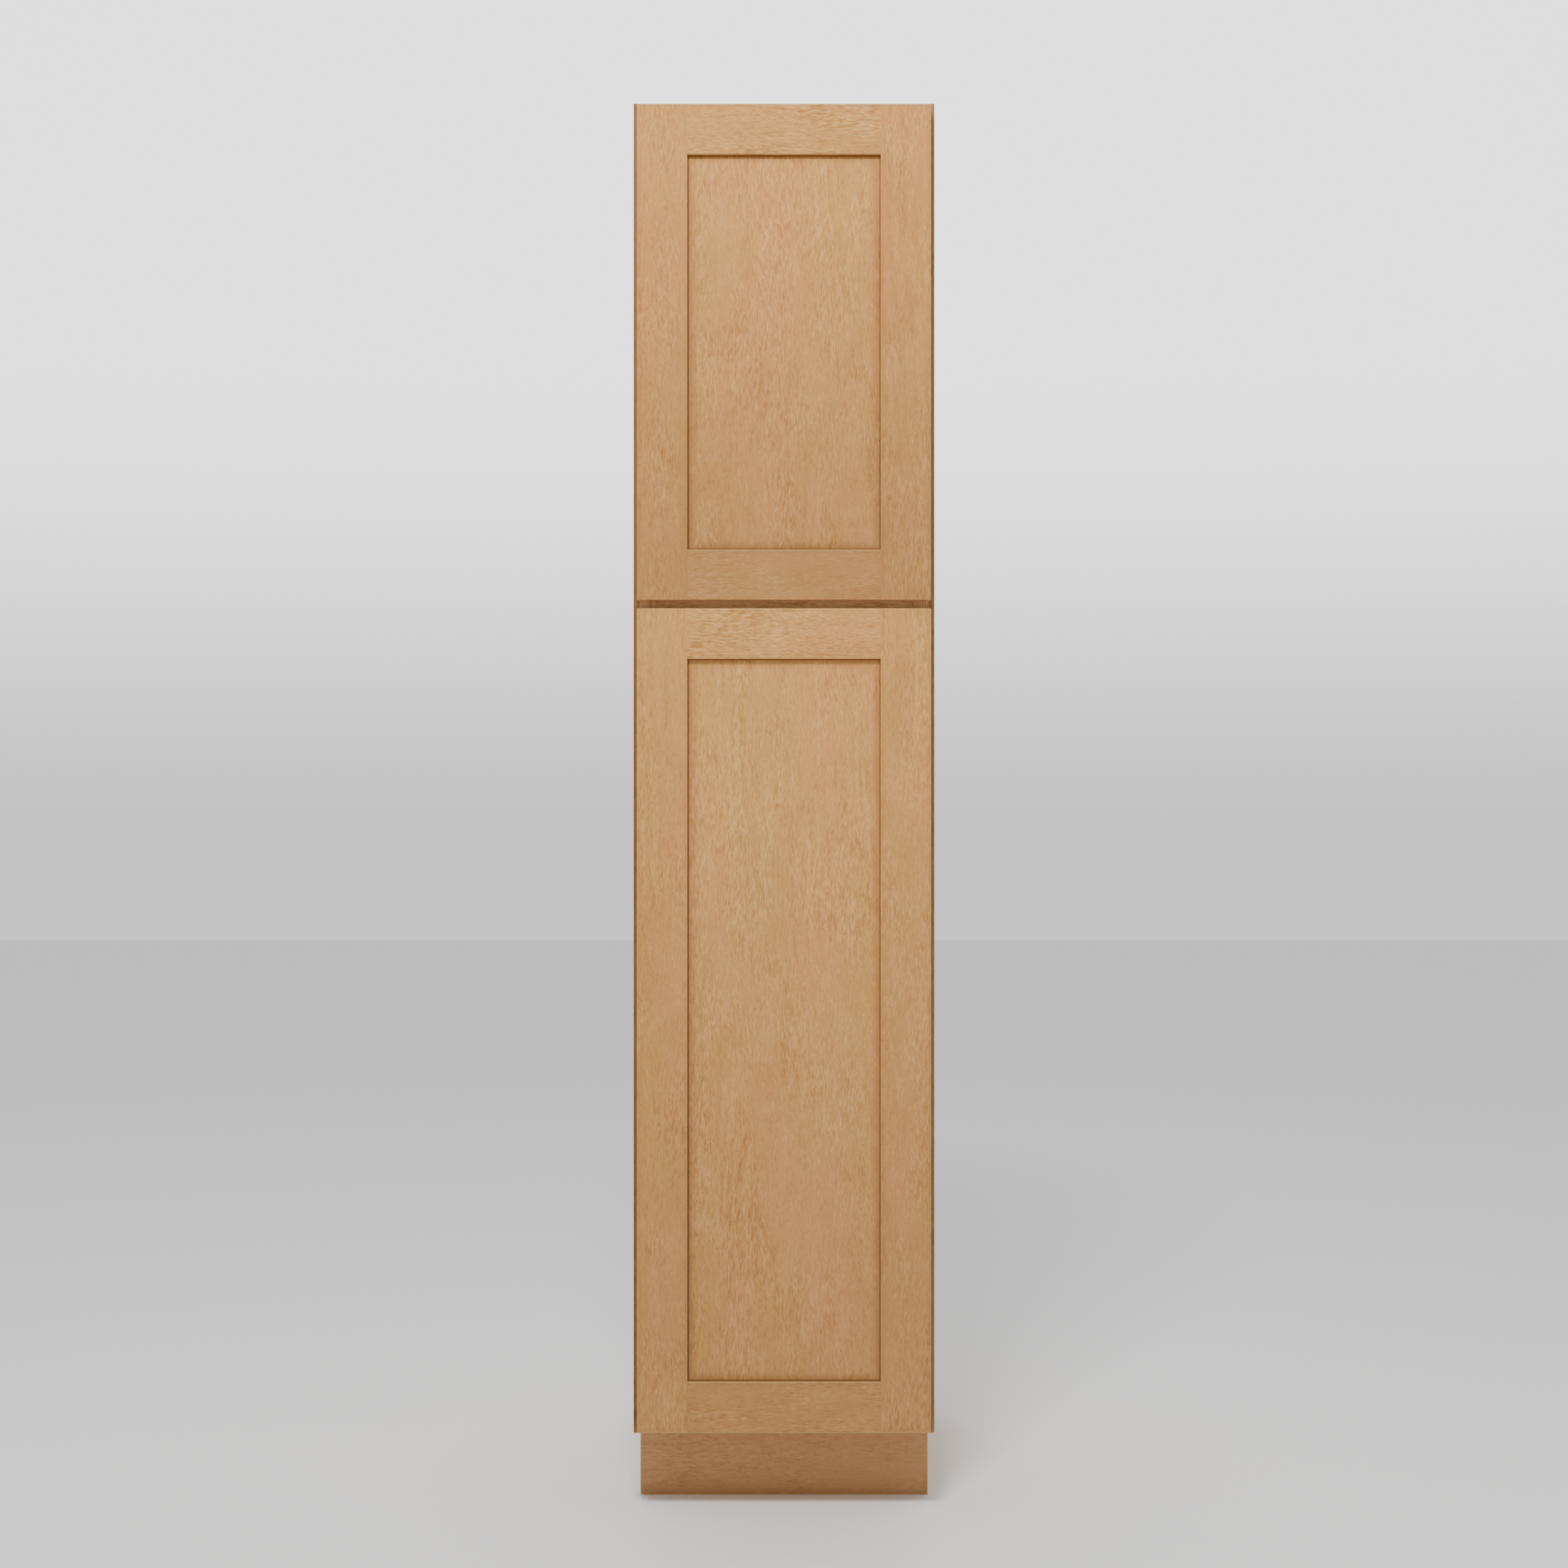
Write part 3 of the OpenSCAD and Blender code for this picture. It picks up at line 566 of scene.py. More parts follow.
def fit_piece(name, meshes, finish, node):
    """Joins meshes into one finished piece that stands for its CAD solid."""
    material, slot = finish
    work = bmesh.new()
    for mesh in meshes:
        work.from_mesh(mesh)
        bpy.data.meshes.remove(mesh)
    whole = bpy.data.meshes.new(name)
    work.to_mesh(whole)
    work.free()
    whole.materials.clear()
    whole.materials.append(material)
    whole.polygons.foreach_set("use_smooth", [True] * len(whole.polygons))
    whole.polygons.foreach_set("material_index", [0] * len(whole.polygons))
    whole.set_sharp_from_angle(angle=SMOOTH_WITHIN)
    piece = bpy.data.objects.new(name, whole)
    bpy.context.scene.collection.objects.link(piece)
    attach(piece, frame["nodes"][node]["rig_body"])
    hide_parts(node)


def closed(work, place):
    """Welds a shape drawn in millimetres, sets it in place and turns it outwards."""
    bmesh.ops.remove_doubles(work, verts=work.verts, dist=WELD)
    bmesh.ops.transform(work, matrix=place, verts=work.verts)
    bmesh.ops.recalc_face_normals(work, faces=work.faces)
    mesh = bpy.data.meshes.new("shape")
    work.to_mesh(mesh)
    work.free()
    return mesh


def arc(x, y, radius, start, end, steps):
    """Points on an arc, with its angles in degrees."""
    turns = (math.radians(start + (end - start) * i / steps) for i in range(steps + 1))
    return [(x + radius * math.cos(a), y + radius * math.sin(a)) for a in turns]


def hole(x, y, radius):
    """Points once round a hole, with no point repeated."""
    return arc(x, y, radius, 0, 345, 23)


def turned_shape(profile, steps, place):
    """Spins (radius, height) points about Z and sets the result in its place."""
    work = bmesh.new()
    ring = [work.verts.new((r, 0, h)) for r, h in profile]
    edges = [work.edges.new(pair) for pair in zip(ring, ring[1:])]
    bmesh.ops.spin(work, geom=ring + edges, cent=(0, 0, 0), axis=(0, 0, 1),
                   angle=2 * math.pi, steps=steps, dvec=(0, 0, 0))
    return closed(work, place)


def pressed_blank(outlines, thick, round_over, place):
    """Flat blank with rounded rims. The first outline is its edge, the rest holes.

    The outlines are in millimetres and the blank is centred on its thickness.
    """
    curve = bpy.data.curves.new("blank", "CURVE")
    curve.dimensions = "2D"
    curve.fill_mode = "BOTH"
    curve.extrude = thick / 2 - round_over
    curve.bevel_depth = round_over
    curve.bevel_resolution = 1
    curve.offset = -round_over
    for number, points in enumerate(outlines):
        area = sum(a[0] * b[1] - b[0] * a[1]
                   for a, b in zip(points, points[1:] + points[:1]))
        if (area > 0) == (number > 0):
            points = points[::-1]
        spline = curve.splines.new("POLY")
        spline.points.add(len(points) - 1)
        for point, (x, y) in zip(spline.points, points):
            point.co = (x, y, 0, 1)
        spline.use_cyclic_u = True
    holder = bpy.data.objects.new("blank", curve)
    bpy.context.scene.collection.objects.link(holder)
    ready = holder.evaluated_get(bpy.context.evaluated_depsgraph_get())
    work = bmesh.new()
    flat = bpy.data.meshes.new_from_object(ready)
    work.from_mesh(flat)
    bpy.data.meshes.remove(flat)
    bpy.data.objects.remove(holder)
    bpy.data.curves.remove(curve)
    return closed(work, place)


def hinge_frame(cup_node):
    """Matrix from a hinge's own s, v and z millimetres to its place at rest."""
    low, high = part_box(cup_node)
    door_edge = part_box("lower_door_hinge_stile")[0].x
    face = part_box("frame_stile_left")[0].y
    return (Matrix.Translation((door_edge, face, (low.z + high.z) / 2))
            @ Matrix.Diagonal((MM, MM, MM, 1)))


# each turns a blank that is drawn in x and y so that it faces along v or s
FACING_V = Matrix(((1, 0, 0, 0), (0, 0, 1, 0), (0, 1, 0, 0), (0, 0, 0, 1)))
FACING_S = Matrix(((0, 0, 1, 0), (1, 0, 0, 0), (0, 1, 0, 0), (0, 0, 0, 1)))
CUP_S = DOOR_GAP + CUP_RADIUS
WING_SCREW = (30.0, 22.5)
WING_RADIUS = 5.5
WING_HOLE = 2.3
WING_THICK = 0.9
WING_LIFT = 0.05
WING_LAP = 0.2
CUP_CORNER = 3.0
RING_REACH, RING_TOP = 0.9, 1.15
RING_OUTER, RING_INNER = 0.5, 0.6
RIM = 0.2

cup_floor = -DOOR_GAP - CUP_DEPTH
inner_corner = CUP_CORNER - CUP_WALL
inside = CUP_RADIUS - CUP_WALL
ring_top = RING_TOP - DOOR_GAP
corner_place = (CUP_RADIUS - CUP_CORNER, cup_floor + CUP_CORNER)
cup_profile = (
    [(0, cup_floor)]
    + arc(*corner_place, CUP_CORNER, -90, 0, 6)
    + [(CUP_RADIUS, -DOOR_GAP), (CUP_RADIUS + RING_REACH, -DOOR_GAP)]
    + arc(CUP_RADIUS + RING_REACH - RING_OUTER, ring_top - RING_OUTER, RING_OUTER,
          0, 90, 4)
    + arc(inside + RING_INNER, ring_top - RING_INNER, RING_INNER, 90, 180, 4)
    + arc(*corner_place, inner_corner, 0, -90, 6)
    + [(0, cup_floor + CUP_WALL)])

wing_left = WING_SCREW[0] - WING_RADIUS
wing_right = WING_SCREW[0] + WING_RADIUS
bite_start = math.degrees(math.acos((wing_right - CUP_S) / CUP_RADIUS))
bite_end = math.degrees(math.acos((wing_left - CUP_S) / CUP_RADIUS))
wing = (arc(*WING_SCREW, WING_RADIUS, 0, 180, 16)
        + arc(CUP_S, 0, CUP_RADIUS - WING_LAP, bite_end, bite_start, 8))
wing_hole = hole(*WING_SCREW, WING_HOLE)
wing_middle = WING_LIFT + WING_THICK / 2 - DOOR_GAP

# the lugs' feet end inside the thickness of the cup's floor
LUG_THICK = 2.0
LUG_MIDDLE = 6.0
LUG_RADIUS = 2.7
LUG_FOOT = 0.5
lug = (arc(*PIN_PLACE, LUG_RADIUS, 0, 180, 10)
       + [(PIN_PLACE[0] + side * LUG_RADIUS, cup_floor + LUG_FOOT) for side in (-1, 1)])

for node in HINGES:
    place = hinge_frame(node)
    cup_axis = (place @ Matrix.Translation((CUP_S, 0, 0))
                @ Matrix.Rotation(-math.pi / 2, 4, "X"))
    parts = [turned_shape(cup_profile, 72, cup_axis)]
    for side in (1, -1):
        flip = Matrix.Diagonal((1, 1, side, 1))
        parts.append(pressed_blank(
            [wing, wing_hole], WING_THICK, RIM,
            place @ flip @ Matrix.Translation((0, wing_middle, 0)) @ FACING_V))
        parts.append(pressed_blank(
            [lug], LUG_THICK, RIM,
            place @ Matrix.Translation((0, 0, side * LUG_MIDDLE))))
    fit_piece(node + "_pressing", parts, NICKEL, node)

# ---------------------------------------------------------------------------
# Hinge arms. A strip of nickel-plated steel is curled round the pin, runs
# along the cup's floor, and turns up to a wider foot that the adjusting screw
# clamps against the plate on the frame.
EYE_RADIUS = 2.1
EYE_HOLE = 1.3
STRIP = 1.5
LEG_NEAR, LEG_FAR = 33.75, 35.55
LEG_HALF = 4.5
FOOT_HALF = 8.0
FOOT_START, FOOT_END = 2.2, 16.55
FOOT_CORNER = 1.2
LEG_START = -11.5
PLATE_MIDDLE = 9.525
ADJUSTER_HOLE = 1.95
BEND = 2.4
INNER_BEND = 0.75
NECK_TOP = -8.0
# the leg laps the neck by this much, so that no two faces lie in one plane
LAP = 0.05
LEG_RIM = 0.25

s_pin, v_pin = PIN_PLACE
neck_low = v_pin - EYE_RADIUS
eye_meets_strip = math.degrees(math.asin((STRIP - EYE_RADIUS) / EYE_RADIUS))
neck = (arc(LEG_FAR - LAP - BEND, neck_low + BEND, BEND, -90, 0, 6)
        + [(LEG_FAR - LAP, NECK_TOP), (LEG_NEAR + LAP, NECK_TOP)]
        + arc(LEG_NEAR + LAP - INNER_BEND, neck_low + STRIP + INNER_BEND, INNER_BEND,
              0, -90, 4)
        + arc(s_pin, v_pin, EYE_RADIUS, eye_meets_strip, 270, 20))
eye = hole(s_pin, v_pin, EYE_HOLE)


def foot_corner(v, z, start):
    return arc(v, z, FOOT_CORNER, start, start + 90, 4)


foot_near, foot_far = FOOT_START + FOOT_CORNER, FOOT_END - FOOT_CORNER
foot_side = FOOT_HALF - FOOT_CORNER
leg = ([(LEG_START, -LEG_HALF), (FOOT_START, -LEG_HALF)]
       + foot_corner(foot_near, -foot_side, 180) + foot_corner(foot_far, -foot_side, 270)
       + foot_corner(foot_far, foot_side, 0) + foot_corner(foot_near, foot_side, 90)
       + [(FOOT_START, LEG_HALF), (LEG_START, LEG_HALF)])
leg_hole = hole(PLATE_MIDDLE, 0, ADJUSTER_HOLE)

for number, cup in enumerate(HINGES, 1):
    place = hinge_frame(cup)
    leg_place = place @ Matrix.Translation(((LEG_NEAR + LEG_FAR) / 2, 0, 0)) @ FACING_S
    fit_piece(f"hinge_arm_{number}_strip",
              [pressed_blank([neck, eye], 2 * (LEG_HALF - LAP), RIM, place),
               pressed_blank([leg, leg_hole], LEG_FAR - LEG_NEAR, LEG_RIM,
                              leg_place)],
              NICKEL, f"hinge_arm_{number}")

# ---------------------------------------------------------------------------
# Frame plates. Zinc-plated blanks, each screwed to the inner edge of the left
# stile by two wood screws, and tapped in the middle for the adjusting screw.
PLATE_NEAR, PLATE_FAR = 31.75, 33.75
PLATE_HALF_WIDE, PLATE_HALF_TALL = 8.325, 24.0
PLATE_SCREW = 16.0
PLATE_HOLE = 1.8
PLATE_CORNER = 2.5
PLATE_RIM = 0.3


def rounded_box(x, y, half_x, half_y, radius):
    """Outline of a rectangle about (x, y) with rounded corners."""
    points = []
    for start, sx, sy in ((0, 1, 1), (90, -1, 1), (180, -1, -1), (270, 1, -1)):
        points += arc(x + sx * (half_x - radius), y + sy * (half_y - radius), radius,
                      start, start + 90, 4)
    return points


plate = [rounded_box(PLATE_MIDDLE, 0, PLATE_HALF_WIDE, PLATE_HALF_TALL, PLATE_CORNER)]
plate += [hole(PLATE_MIDDLE, z, PLATE_HOLE) for z in (-PLATE_SCREW, PLATE_SCREW)]
plate.append(hole(PLATE_MIDDLE, 0, ADJUSTER_HOLE))
plate_middle = Matrix.Translation(((PLATE_NEAR + PLATE_FAR) / 2, 0, 0)) @ FACING_S
fit_piece("frame_plate_blanks",
          [pressed_blank(plate, PLATE_FAR - PLATE_NEAR, PLATE_RIM,
                         hinge_frame(cup) @ plate_middle)
           for cup in HINGES],
          ZINC, "hinge_frame_plates")

# ---------------------------------------------------------------------------
# Screws. Steel, with cross recesses, rolled threads and pan heads: small ones in
# the hinges' cups and plates, nickel-plated where they adjust the arms, and
# long zinc-plated ones with wider heads that draw the face frame together.
def new_tree(name, sizes):
    """Starts a Geometry Nodes tree with one named input for each size."""
    tree = bpy.data.node_groups.new(name, "GeometryNodeTree")
    face = tree.interface
    face.new_socket("Places", in_out="INPUT", socket_type="NodeSocketGeometry")
    for label, value in sizes.items():
        kind = "NodeSocketInt" if isinstance(value, int) else "NodeSocketFloat"
        face.new_socket(label, in_out="INPUT", socket_type=kind).default_value = value
    face.new_socket("Metal", in_out="INPUT", socket_type="NodeSocketMaterial")
    face.new_socket("Pieces", in_out="OUTPUT", socket_type="NodeSocketGeometry")
    return tree, add(tree, "NodeGroupInput").outputs


def moved(tree, shape, x=0.0, y=0.0, z=0.0):
    where = add(tree, "ShaderNodeCombineXYZ", {0: x, 1: y, 2: z}).outputs[0]
    return add(tree, "GeometryNodeTransform",
               {"Geometry": shape, "Translation": where}).outputs[0]


def joined(tree, *shapes):
    made = add(tree, "GeometryNodeJoinGeometry")
    for shape in shapes:
        tree.links.new(shape, made.inputs[0])
    return made.outputs[0]


def set_out(tree, given, shape):
    """Puts the shape at each place, turned to its aim and its up, and finishes."""
    axes = [add(tree, "GeometryNodeInputNamedAttribute", {"Name": name},
                data_type="FLOAT_VECTOR").outputs[0] for name in ("aim", "up")]
    turn = add(tree, "FunctionNodeAxesToRotation",
               {"Primary Axis": axes[0], "Secondary Axis": axes[1]},
               primary_axis="Z", secondary_axis="X").outputs[0]
    if "Seed" in given:
        roll = add(tree, "FunctionNodeRandomValue",
                   {"Min": 0.0, "Max": 2 * math.pi, "Seed": given["Seed"]},
                   data_type="FLOAT")
        spin = next(o for o in roll.outputs if o.enabled)
        about = add(tree, "ShaderNodeCombineXYZ", {2: spin}).outputs[0]
        turn = add(tree, "FunctionNodeRotateRotation",
                   {"Rotation": turn, "Rotate By": about},
                   rotation_space="LOCAL").outputs[0]
    laid = add(tree, "GeometryNodeInstanceOnPoints",
               {"Points": given["Places"], "Instance": shape, "Rotation": turn})
    real = add(tree, "GeometryNodeRealizeInstances", {0: laid.outputs[0]})
    dressed = add(tree, "GeometryNodeSetMaterial",
                  {"Geometry": real.outputs[0], "Material": given["Metal"]})
    add(tree, "NodeGroupOutput", {0: dressed.outputs[0]})
    return tree


def screw_tree():
    """A screw whose head sits on the plane z = 0 with its shank below it."""
    tree, given = new_tree("wood screw", {
        "Shank radius": 1.75 * MM, "Length": 13.0 * MM, "Head radius": 3.2 * MM,
        "Head height": 1.4 * MM, "Thread pitch": 1.3 * MM, "Thread depth": 0.3 * MM,
        "Recess width": 0.75 * MM, "Seed": 1})
    core = maths(tree, "SUBTRACT", given["Shank radius"], given["Thread depth"])
    tip_long = maths(tree, "MULTIPLY", given["Shank radius"], 2.0)
    body_long = maths(tree, "SUBTRACT", given["Length"], tip_long)
    shank = add(tree, "GeometryNodeMeshCylinder",
                {"Vertices": 20, "Radius": core, "Depth": body_long}).outputs["Mesh"]
    shank = moved(tree, shank, z=maths(tree, "MULTIPLY", body_long, -0.5))
    tip = add(tree, "GeometryNodeMeshCone",
              {"Vertices": 20, "Radius Top": core, "Radius Bottom": 0.05 * MM,
               "Depth": tip_long}).outputs["Mesh"]
    tip = moved(tree, tip, z=maths(tree, "MULTIPLY", given["Length"], -1.0))
    rise = maths(tree, "MULTIPLY", body_long, 0.72)
    coil = add(tree, "GeometryNodeCurveSpiral",
               {"Resolution": 16, "Rotations": maths(tree, "DIVIDE", rise,
                                                     given["Thread pitch"]),
                "Start Radius": core, "End Radius": core, "Height": rise}).outputs[0]
    ridge = add(tree, "GeometryNodeCurvePrimitiveCircle",
                {"Resolution": 4, "Radius": given["Thread depth"]}).outputs[0]
    thread = add(tree, "GeometryNodeCurveToMesh",
                 {"Curve": coil, "Profile Curve": ridge, "Fill Caps": True}).outputs[0]
    thread = moved(tree, thread, z=maths(tree, "MULTIPLY", body_long, -1.0))
    # a pan head is two cones, a steep one under a flatter one, with a cross cut in
    head = add(tree, "GeometryNodeMeshBoolean", operation="UNION", solver="EXACT")
    for low, high, base, top in ((0.0, 0.45, 1.0, 0.94), (0.45, 1.0, 0.94, 0.62)):
        disc = add(tree, "GeometryNodeMeshCone",
                   {"Vertices": 32, "Side Segments": 1,
                    "Depth": maths(tree, "MULTIPLY", given["Head height"], high - low),
                    "Radius Bottom": maths(tree, "MULTIPLY", given["Head radius"], base),
                    "Radius Top": maths(tree, "MULTIPLY", given["Head radius"], top)})
        disc = moved(tree, disc.outputs["Mesh"],
                     z=maths(tree, "MULTIPLY", given["Head height"], low))
        tree.links.new(disc, head.inputs["Mesh 2"])
    arm_long = maths(tree, "MULTIPLY", given["Head radius"], 1.05)
    cut = add(tree, "GeometryNodeMeshBoolean", {"Mesh 1": head.outputs[0]},
              operation="DIFFERENCE", solver="EXACT")
    for across in (0, 1):
        size = add(tree, "ShaderNodeCombineXYZ",
                   {across: arm_long, 1 - across: given["Recess width"],
                    2: given["Head height"]})
        bar = add(tree, "GeometryNodeMeshCube", {"Size": size.outputs[0]})
        tree.links.new(moved(tree, bar.outputs["Mesh"], z=given["Head height"]),
                       cut.inputs["Mesh 2"])
    return set_out(tree, given, joined(tree, shank, tip, thread, cut.outputs[0]))


def grow(tree, name, places, sizes, finish, node):
    """Runs a tree on (point, aim, up) places and fits the result as one piece."""
    seeds = bpy.data.meshes.new(name + "_places")
    seeds.from_pydata([p for p, _, _ in places], [], [])
    for label, column in (("aim", 1), ("up", 2)):
        held = seeds.attributes.new(label, "FLOAT_VECTOR", "POINT")
        held.data.foreach_set("vector", [v for row in places for v in row[column]])
    holder = bpy.data.objects.new(name + "_places", seeds)
    bpy.context.scene.collection.objects.link(holder)
    grower = holder.modifiers.new("grow", "NODES")
    grower.node_group = tree
    settings = {**sizes, "Metal": finish[0]}
    for item in tree.interface.items_tree:
        if item.in_out == "INPUT" and item.name in settings:
            grower[item.identifier] = settings[item.name]
    ready = holder.evaluated_get(bpy.context.evaluated_depsgraph_get())
    mesh = bpy.data.meshes.new_from_object(ready)
    holder.modifiers.remove(grower)
    bpy.data.objects.remove(holder)
    fit_piece(name, [mesh], finish, node)


def at_hinges(cups, points, aim):
    """Places in hinge millimetres, repeated at each hinge."""
    return [(hinge_frame(cup) @ Vector(p), aim, (0, 0, 1) if aim[2] == 0 else (1, 0, 0))
            for cup in cups for p in points]


SCREW = screw_tree()
HINGES_OF = {"lower": HINGES[:3], "upper": HINGES[3:]}
wing_screws = [(WING_SCREW[0], wing_middle + WING_THICK / 2, z)
               for z in (-WING_SCREW[1], WING_SCREW[1])]
for seed, (door, cups) in enumerate(HINGES_OF.items()):
    grow(SCREW, f"{door}_wing_screws", at_hinges(cups, wing_screws, (0, 1, 0)),
         {"Head height": 1.1 * MM, "Seed": 3 + seed}, ZINC, f"{door}_cup_screws")
plate_screws = [(PLATE_FAR, PLATE_MIDDLE, z) for z in (-PLATE_SCREW, PLATE_SCREW)]
grow(SCREW, "plate_wood_screws", at_hinges(HINGES, plate_screws, (1, 0, 0)),
     {"Length": 15.0 * MM, "Seed": 5}, ZINC, "hinge_plate_screws")
grow(SCREW, "adjusting_screws_cut",
     at_hinges(HINGES, [(LEG_FAR, PLATE_MIDDLE, 0)], (1, 0, 0)),
     {"Shank radius": 1.9 * MM, "Length": 8.8 * MM, "Head radius": 3.4 * MM,
      "Head height": 1.6 * MM, "Thread pitch": 0.8 * MM, "Thread depth": 0.25 * MM,
      "Recess width": 0.85 * MM, "Seed": 6},
     NICKEL, "hinge_adjusting_screws")

# pocket screws lean 15 degrees back from the rail, and their heads sit in pockets
LEAN = math.radians(15)
POCKET_SHOULDER = 20 * MM
pockets = []
for rail in ("frame_rail_top", "frame_rail_middle", "frame_rail_bottom"):
    low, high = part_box(rail)
    for share in (0.25, 0.75):
        joint_z = low.z + share * (high.z - low.z)
        for side in (-1, 1):
            back = Vector((-side * math.cos(LEAN), math.sin(LEAN), 0))
            joint_at = Vector((side * high.x, (low.y + high.y) / 2, joint_z))
            pockets.append((joint_at + back * POCKET_SHOULDER, back, (0, 0, 1)))
grow(SCREW, "pocket_screws_cut", pockets,
     {"Shank radius": 2.0 * MM, "Length": 40.0 * MM, "Head radius": 4.0 * MM,
      "Head height": 2.0 * MM, "Thread pitch": 1.8 * MM, "Thread depth": 0.4 * MM,
      "Recess width": 1.2 * MM, "Seed": 7},
     ZINC, "frame_pocket_screws")

# ---------------------------------------------------------------------------
# Hinge pins. Turned steel pins with chamfered ends, pressed through the lugs
# of each cup and the eye of its arm.
def pin_tree():
    """A round pin centred on its place, with a chamfer at each end."""
    tree, given = new_tree("turned pin", {"Radius": 1.25 * MM, "Length": 15.6 * MM,
                                          "Chamfer": 0.3 * MM})
    body = maths(tree, "MULTIPLY_ADD", given["Chamfer"], -2.0, given["Length"])
    middle = add(tree, "GeometryNodeMeshCylinder",
                 {"Vertices": 32, "Side Segments": 4, "Radius": given["Radius"],
                  "Depth": body}).outputs["Mesh"]
    end_radius = maths(tree, "SUBTRACT", given["Radius"], given["Chamfer"])
    half = maths(tree, "MULTIPLY", body, 0.5)
    upper = add(tree, "GeometryNodeMeshCone",
                {"Vertices": 32, "Radius Top": end_radius,
                 "Radius Bottom": given["Radius"], "Depth": given["Chamfer"]})
    lower = add(tree, "GeometryNodeMeshCone",
                {"Vertices": 32, "Radius Top": given["Radius"],
                 "Radius Bottom": end_radius, "Depth": given["Chamfer"]})
    drop = maths(tree, "SUBTRACT", maths(tree, "MULTIPLY", half, -1.0), given["Chamfer"])
    whole = joined(tree, middle, moved(tree, upper.outputs["Mesh"], z=half),
                   moved(tree, lower.outputs["Mesh"], z=drop))
    return set_out(tree, given, whole)


PIN = pin_tree()
for door, cups in HINGES_OF.items():
    grow(PIN, f"{door}_pins_turned", at_hinges(cups, [(*PIN_PLACE, 0)], (0, 0, 1)), {},
         ZINC, f"{door}_hinge_pins")

# ---------------------------------------------------------------------------
# Shelf pins. Nickel-plated pins, each with a peg in the side panel, a collar
# against it and a flat paddle under the shelf.
def shelf_pin_tree():
    """A shelf pin whose peg runs down from its place; x is up once it is turned."""
    tree, given = new_tree("shelf pin", {
        "Peg radius": 2.45 * MM, "Peg length": 8.5 * MM, "Collar radius": 4.45 * MM,
        "Collar thickness": 1.6 * MM, "Paddle length": 9.0 * MM,
        "Paddle width": 9.0 * MM, "Paddle thickness": 1.6 * MM, "Corner": 2.0 * MM})
    peg = add(tree, "GeometryNodeMeshCylinder",
              {"Vertices": 28, "Radius": given["Peg radius"],
               "Depth": maths(tree, "MULTIPLY", given["Peg length"], 0.9)})
    peg = moved(tree, peg.outputs["Mesh"],
                z=maths(tree, "MULTIPLY", given["Peg length"], -0.45))
    nose = add(tree, "GeometryNodeMeshCone",
               {"Vertices": 28, "Radius Top": given["Peg radius"],
                "Radius Bottom": maths(tree, "MULTIPLY", given["Peg radius"], 0.8),
                "Depth": maths(tree, "MULTIPLY", given["Peg length"], 0.1)})
    nose = moved(tree, nose.outputs["Mesh"],
                 z=maths(tree, "MULTIPLY", given["Peg length"], -1.0))
    collar = add(tree, "GeometryNodeMeshCone",
                 {"Vertices": 28, "Depth": given["Collar thickness"],
                  "Radius Bottom": given["Collar radius"],
                  "Radius Top": maths(tree, "MULTIPLY", given["Collar radius"], 0.88)})
    # the collar is cut flat level with the paddle's top, so that the shelf lies on it
    over = add(tree, "ShaderNodeCombineXYZ",
               {0: given["Collar radius"], 1: 0.02, 2: 0.02}).outputs[0]
    keep = add(tree, "GeometryNodeMeshCube", {"Size": over}).outputs["Mesh"]
    keep = moved(tree, keep, x=maths(tree, "MULTIPLY_ADD", given["Collar radius"], 0.5,
                                     given["Peg radius"]))
    flat = add(tree, "GeometryNodeMeshBoolean",
               {"Mesh 1": collar.outputs["Mesh"], "Mesh 2": keep},
               operation="DIFFERENCE", solver="EXACT").outputs[0]
    sheet = add(tree, "GeometryNodeCurvePrimitiveQuadrilateral",
                {"Width": given["Paddle length"], "Height": given["Paddle width"]})
    sheet = add(tree, "GeometryNodeFilletCurve",
                {"Curve": sheet.outputs[0], "Radius": given["Corner"], "Count": 5},
                mode="POLY").outputs[0]
    sheet = add(tree, "GeometryNodeFillCurve", {"Curve": sheet}).outputs[0]
    lifted = add(tree, "GeometryNodeExtrudeMesh",
                 {"Mesh": sheet, "Offset Scale": given["Paddle thickness"],
                  "Individual": False})
    under = add(tree, "GeometryNodeFlipFaces", {0: sheet}).outputs[0]
    paddle = add(tree, "GeometryNodeMergeByDistance",
                 {"Geometry": joined(tree, lifted.outputs["Mesh"], under),
                  "Distance": 0.005 * MM}).outputs[0]
    out = add(tree, "ShaderNodeCombineXYZ",
              {0: maths(tree, "SUBTRACT", given["Peg radius"], given["Paddle thickness"]),
               2: maths(tree, "MULTIPLY", given["Paddle length"], 0.5)}).outputs[0]
    paddle = add(tree, "GeometryNodeTransform",
                 {"Geometry": paddle, "Translation": out,
                  "Rotation": (0, math.pi / 2, 0)}).outputs[0]
    return set_out(tree, given, joined(tree, peg, nose, flat, paddle))


SHELF_PIN = shelf_pin_tree()
SHELF_INSET = 50 * MM
PEG_RADIUS = 2.45 * MM
inner_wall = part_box("hanging_rail_top")[1].x
pin_places = []
for number in range(4):
    low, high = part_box(f"shelf_{number + 1}")
    for y in (low.y + SHELF_INSET, high.y - SHELF_INSET):
        for side in (-1, 1):
            pin_places.append(((side * inner_wall, y, low.z - PEG_RADIUS), (-side, 0, 0),
                               (0, 0, 1)))
grow(SHELF_PIN, "shelf_pins_made", pin_places, {"Peg radius": PEG_RADIUS}, NICKEL,
     "shelf_pins")

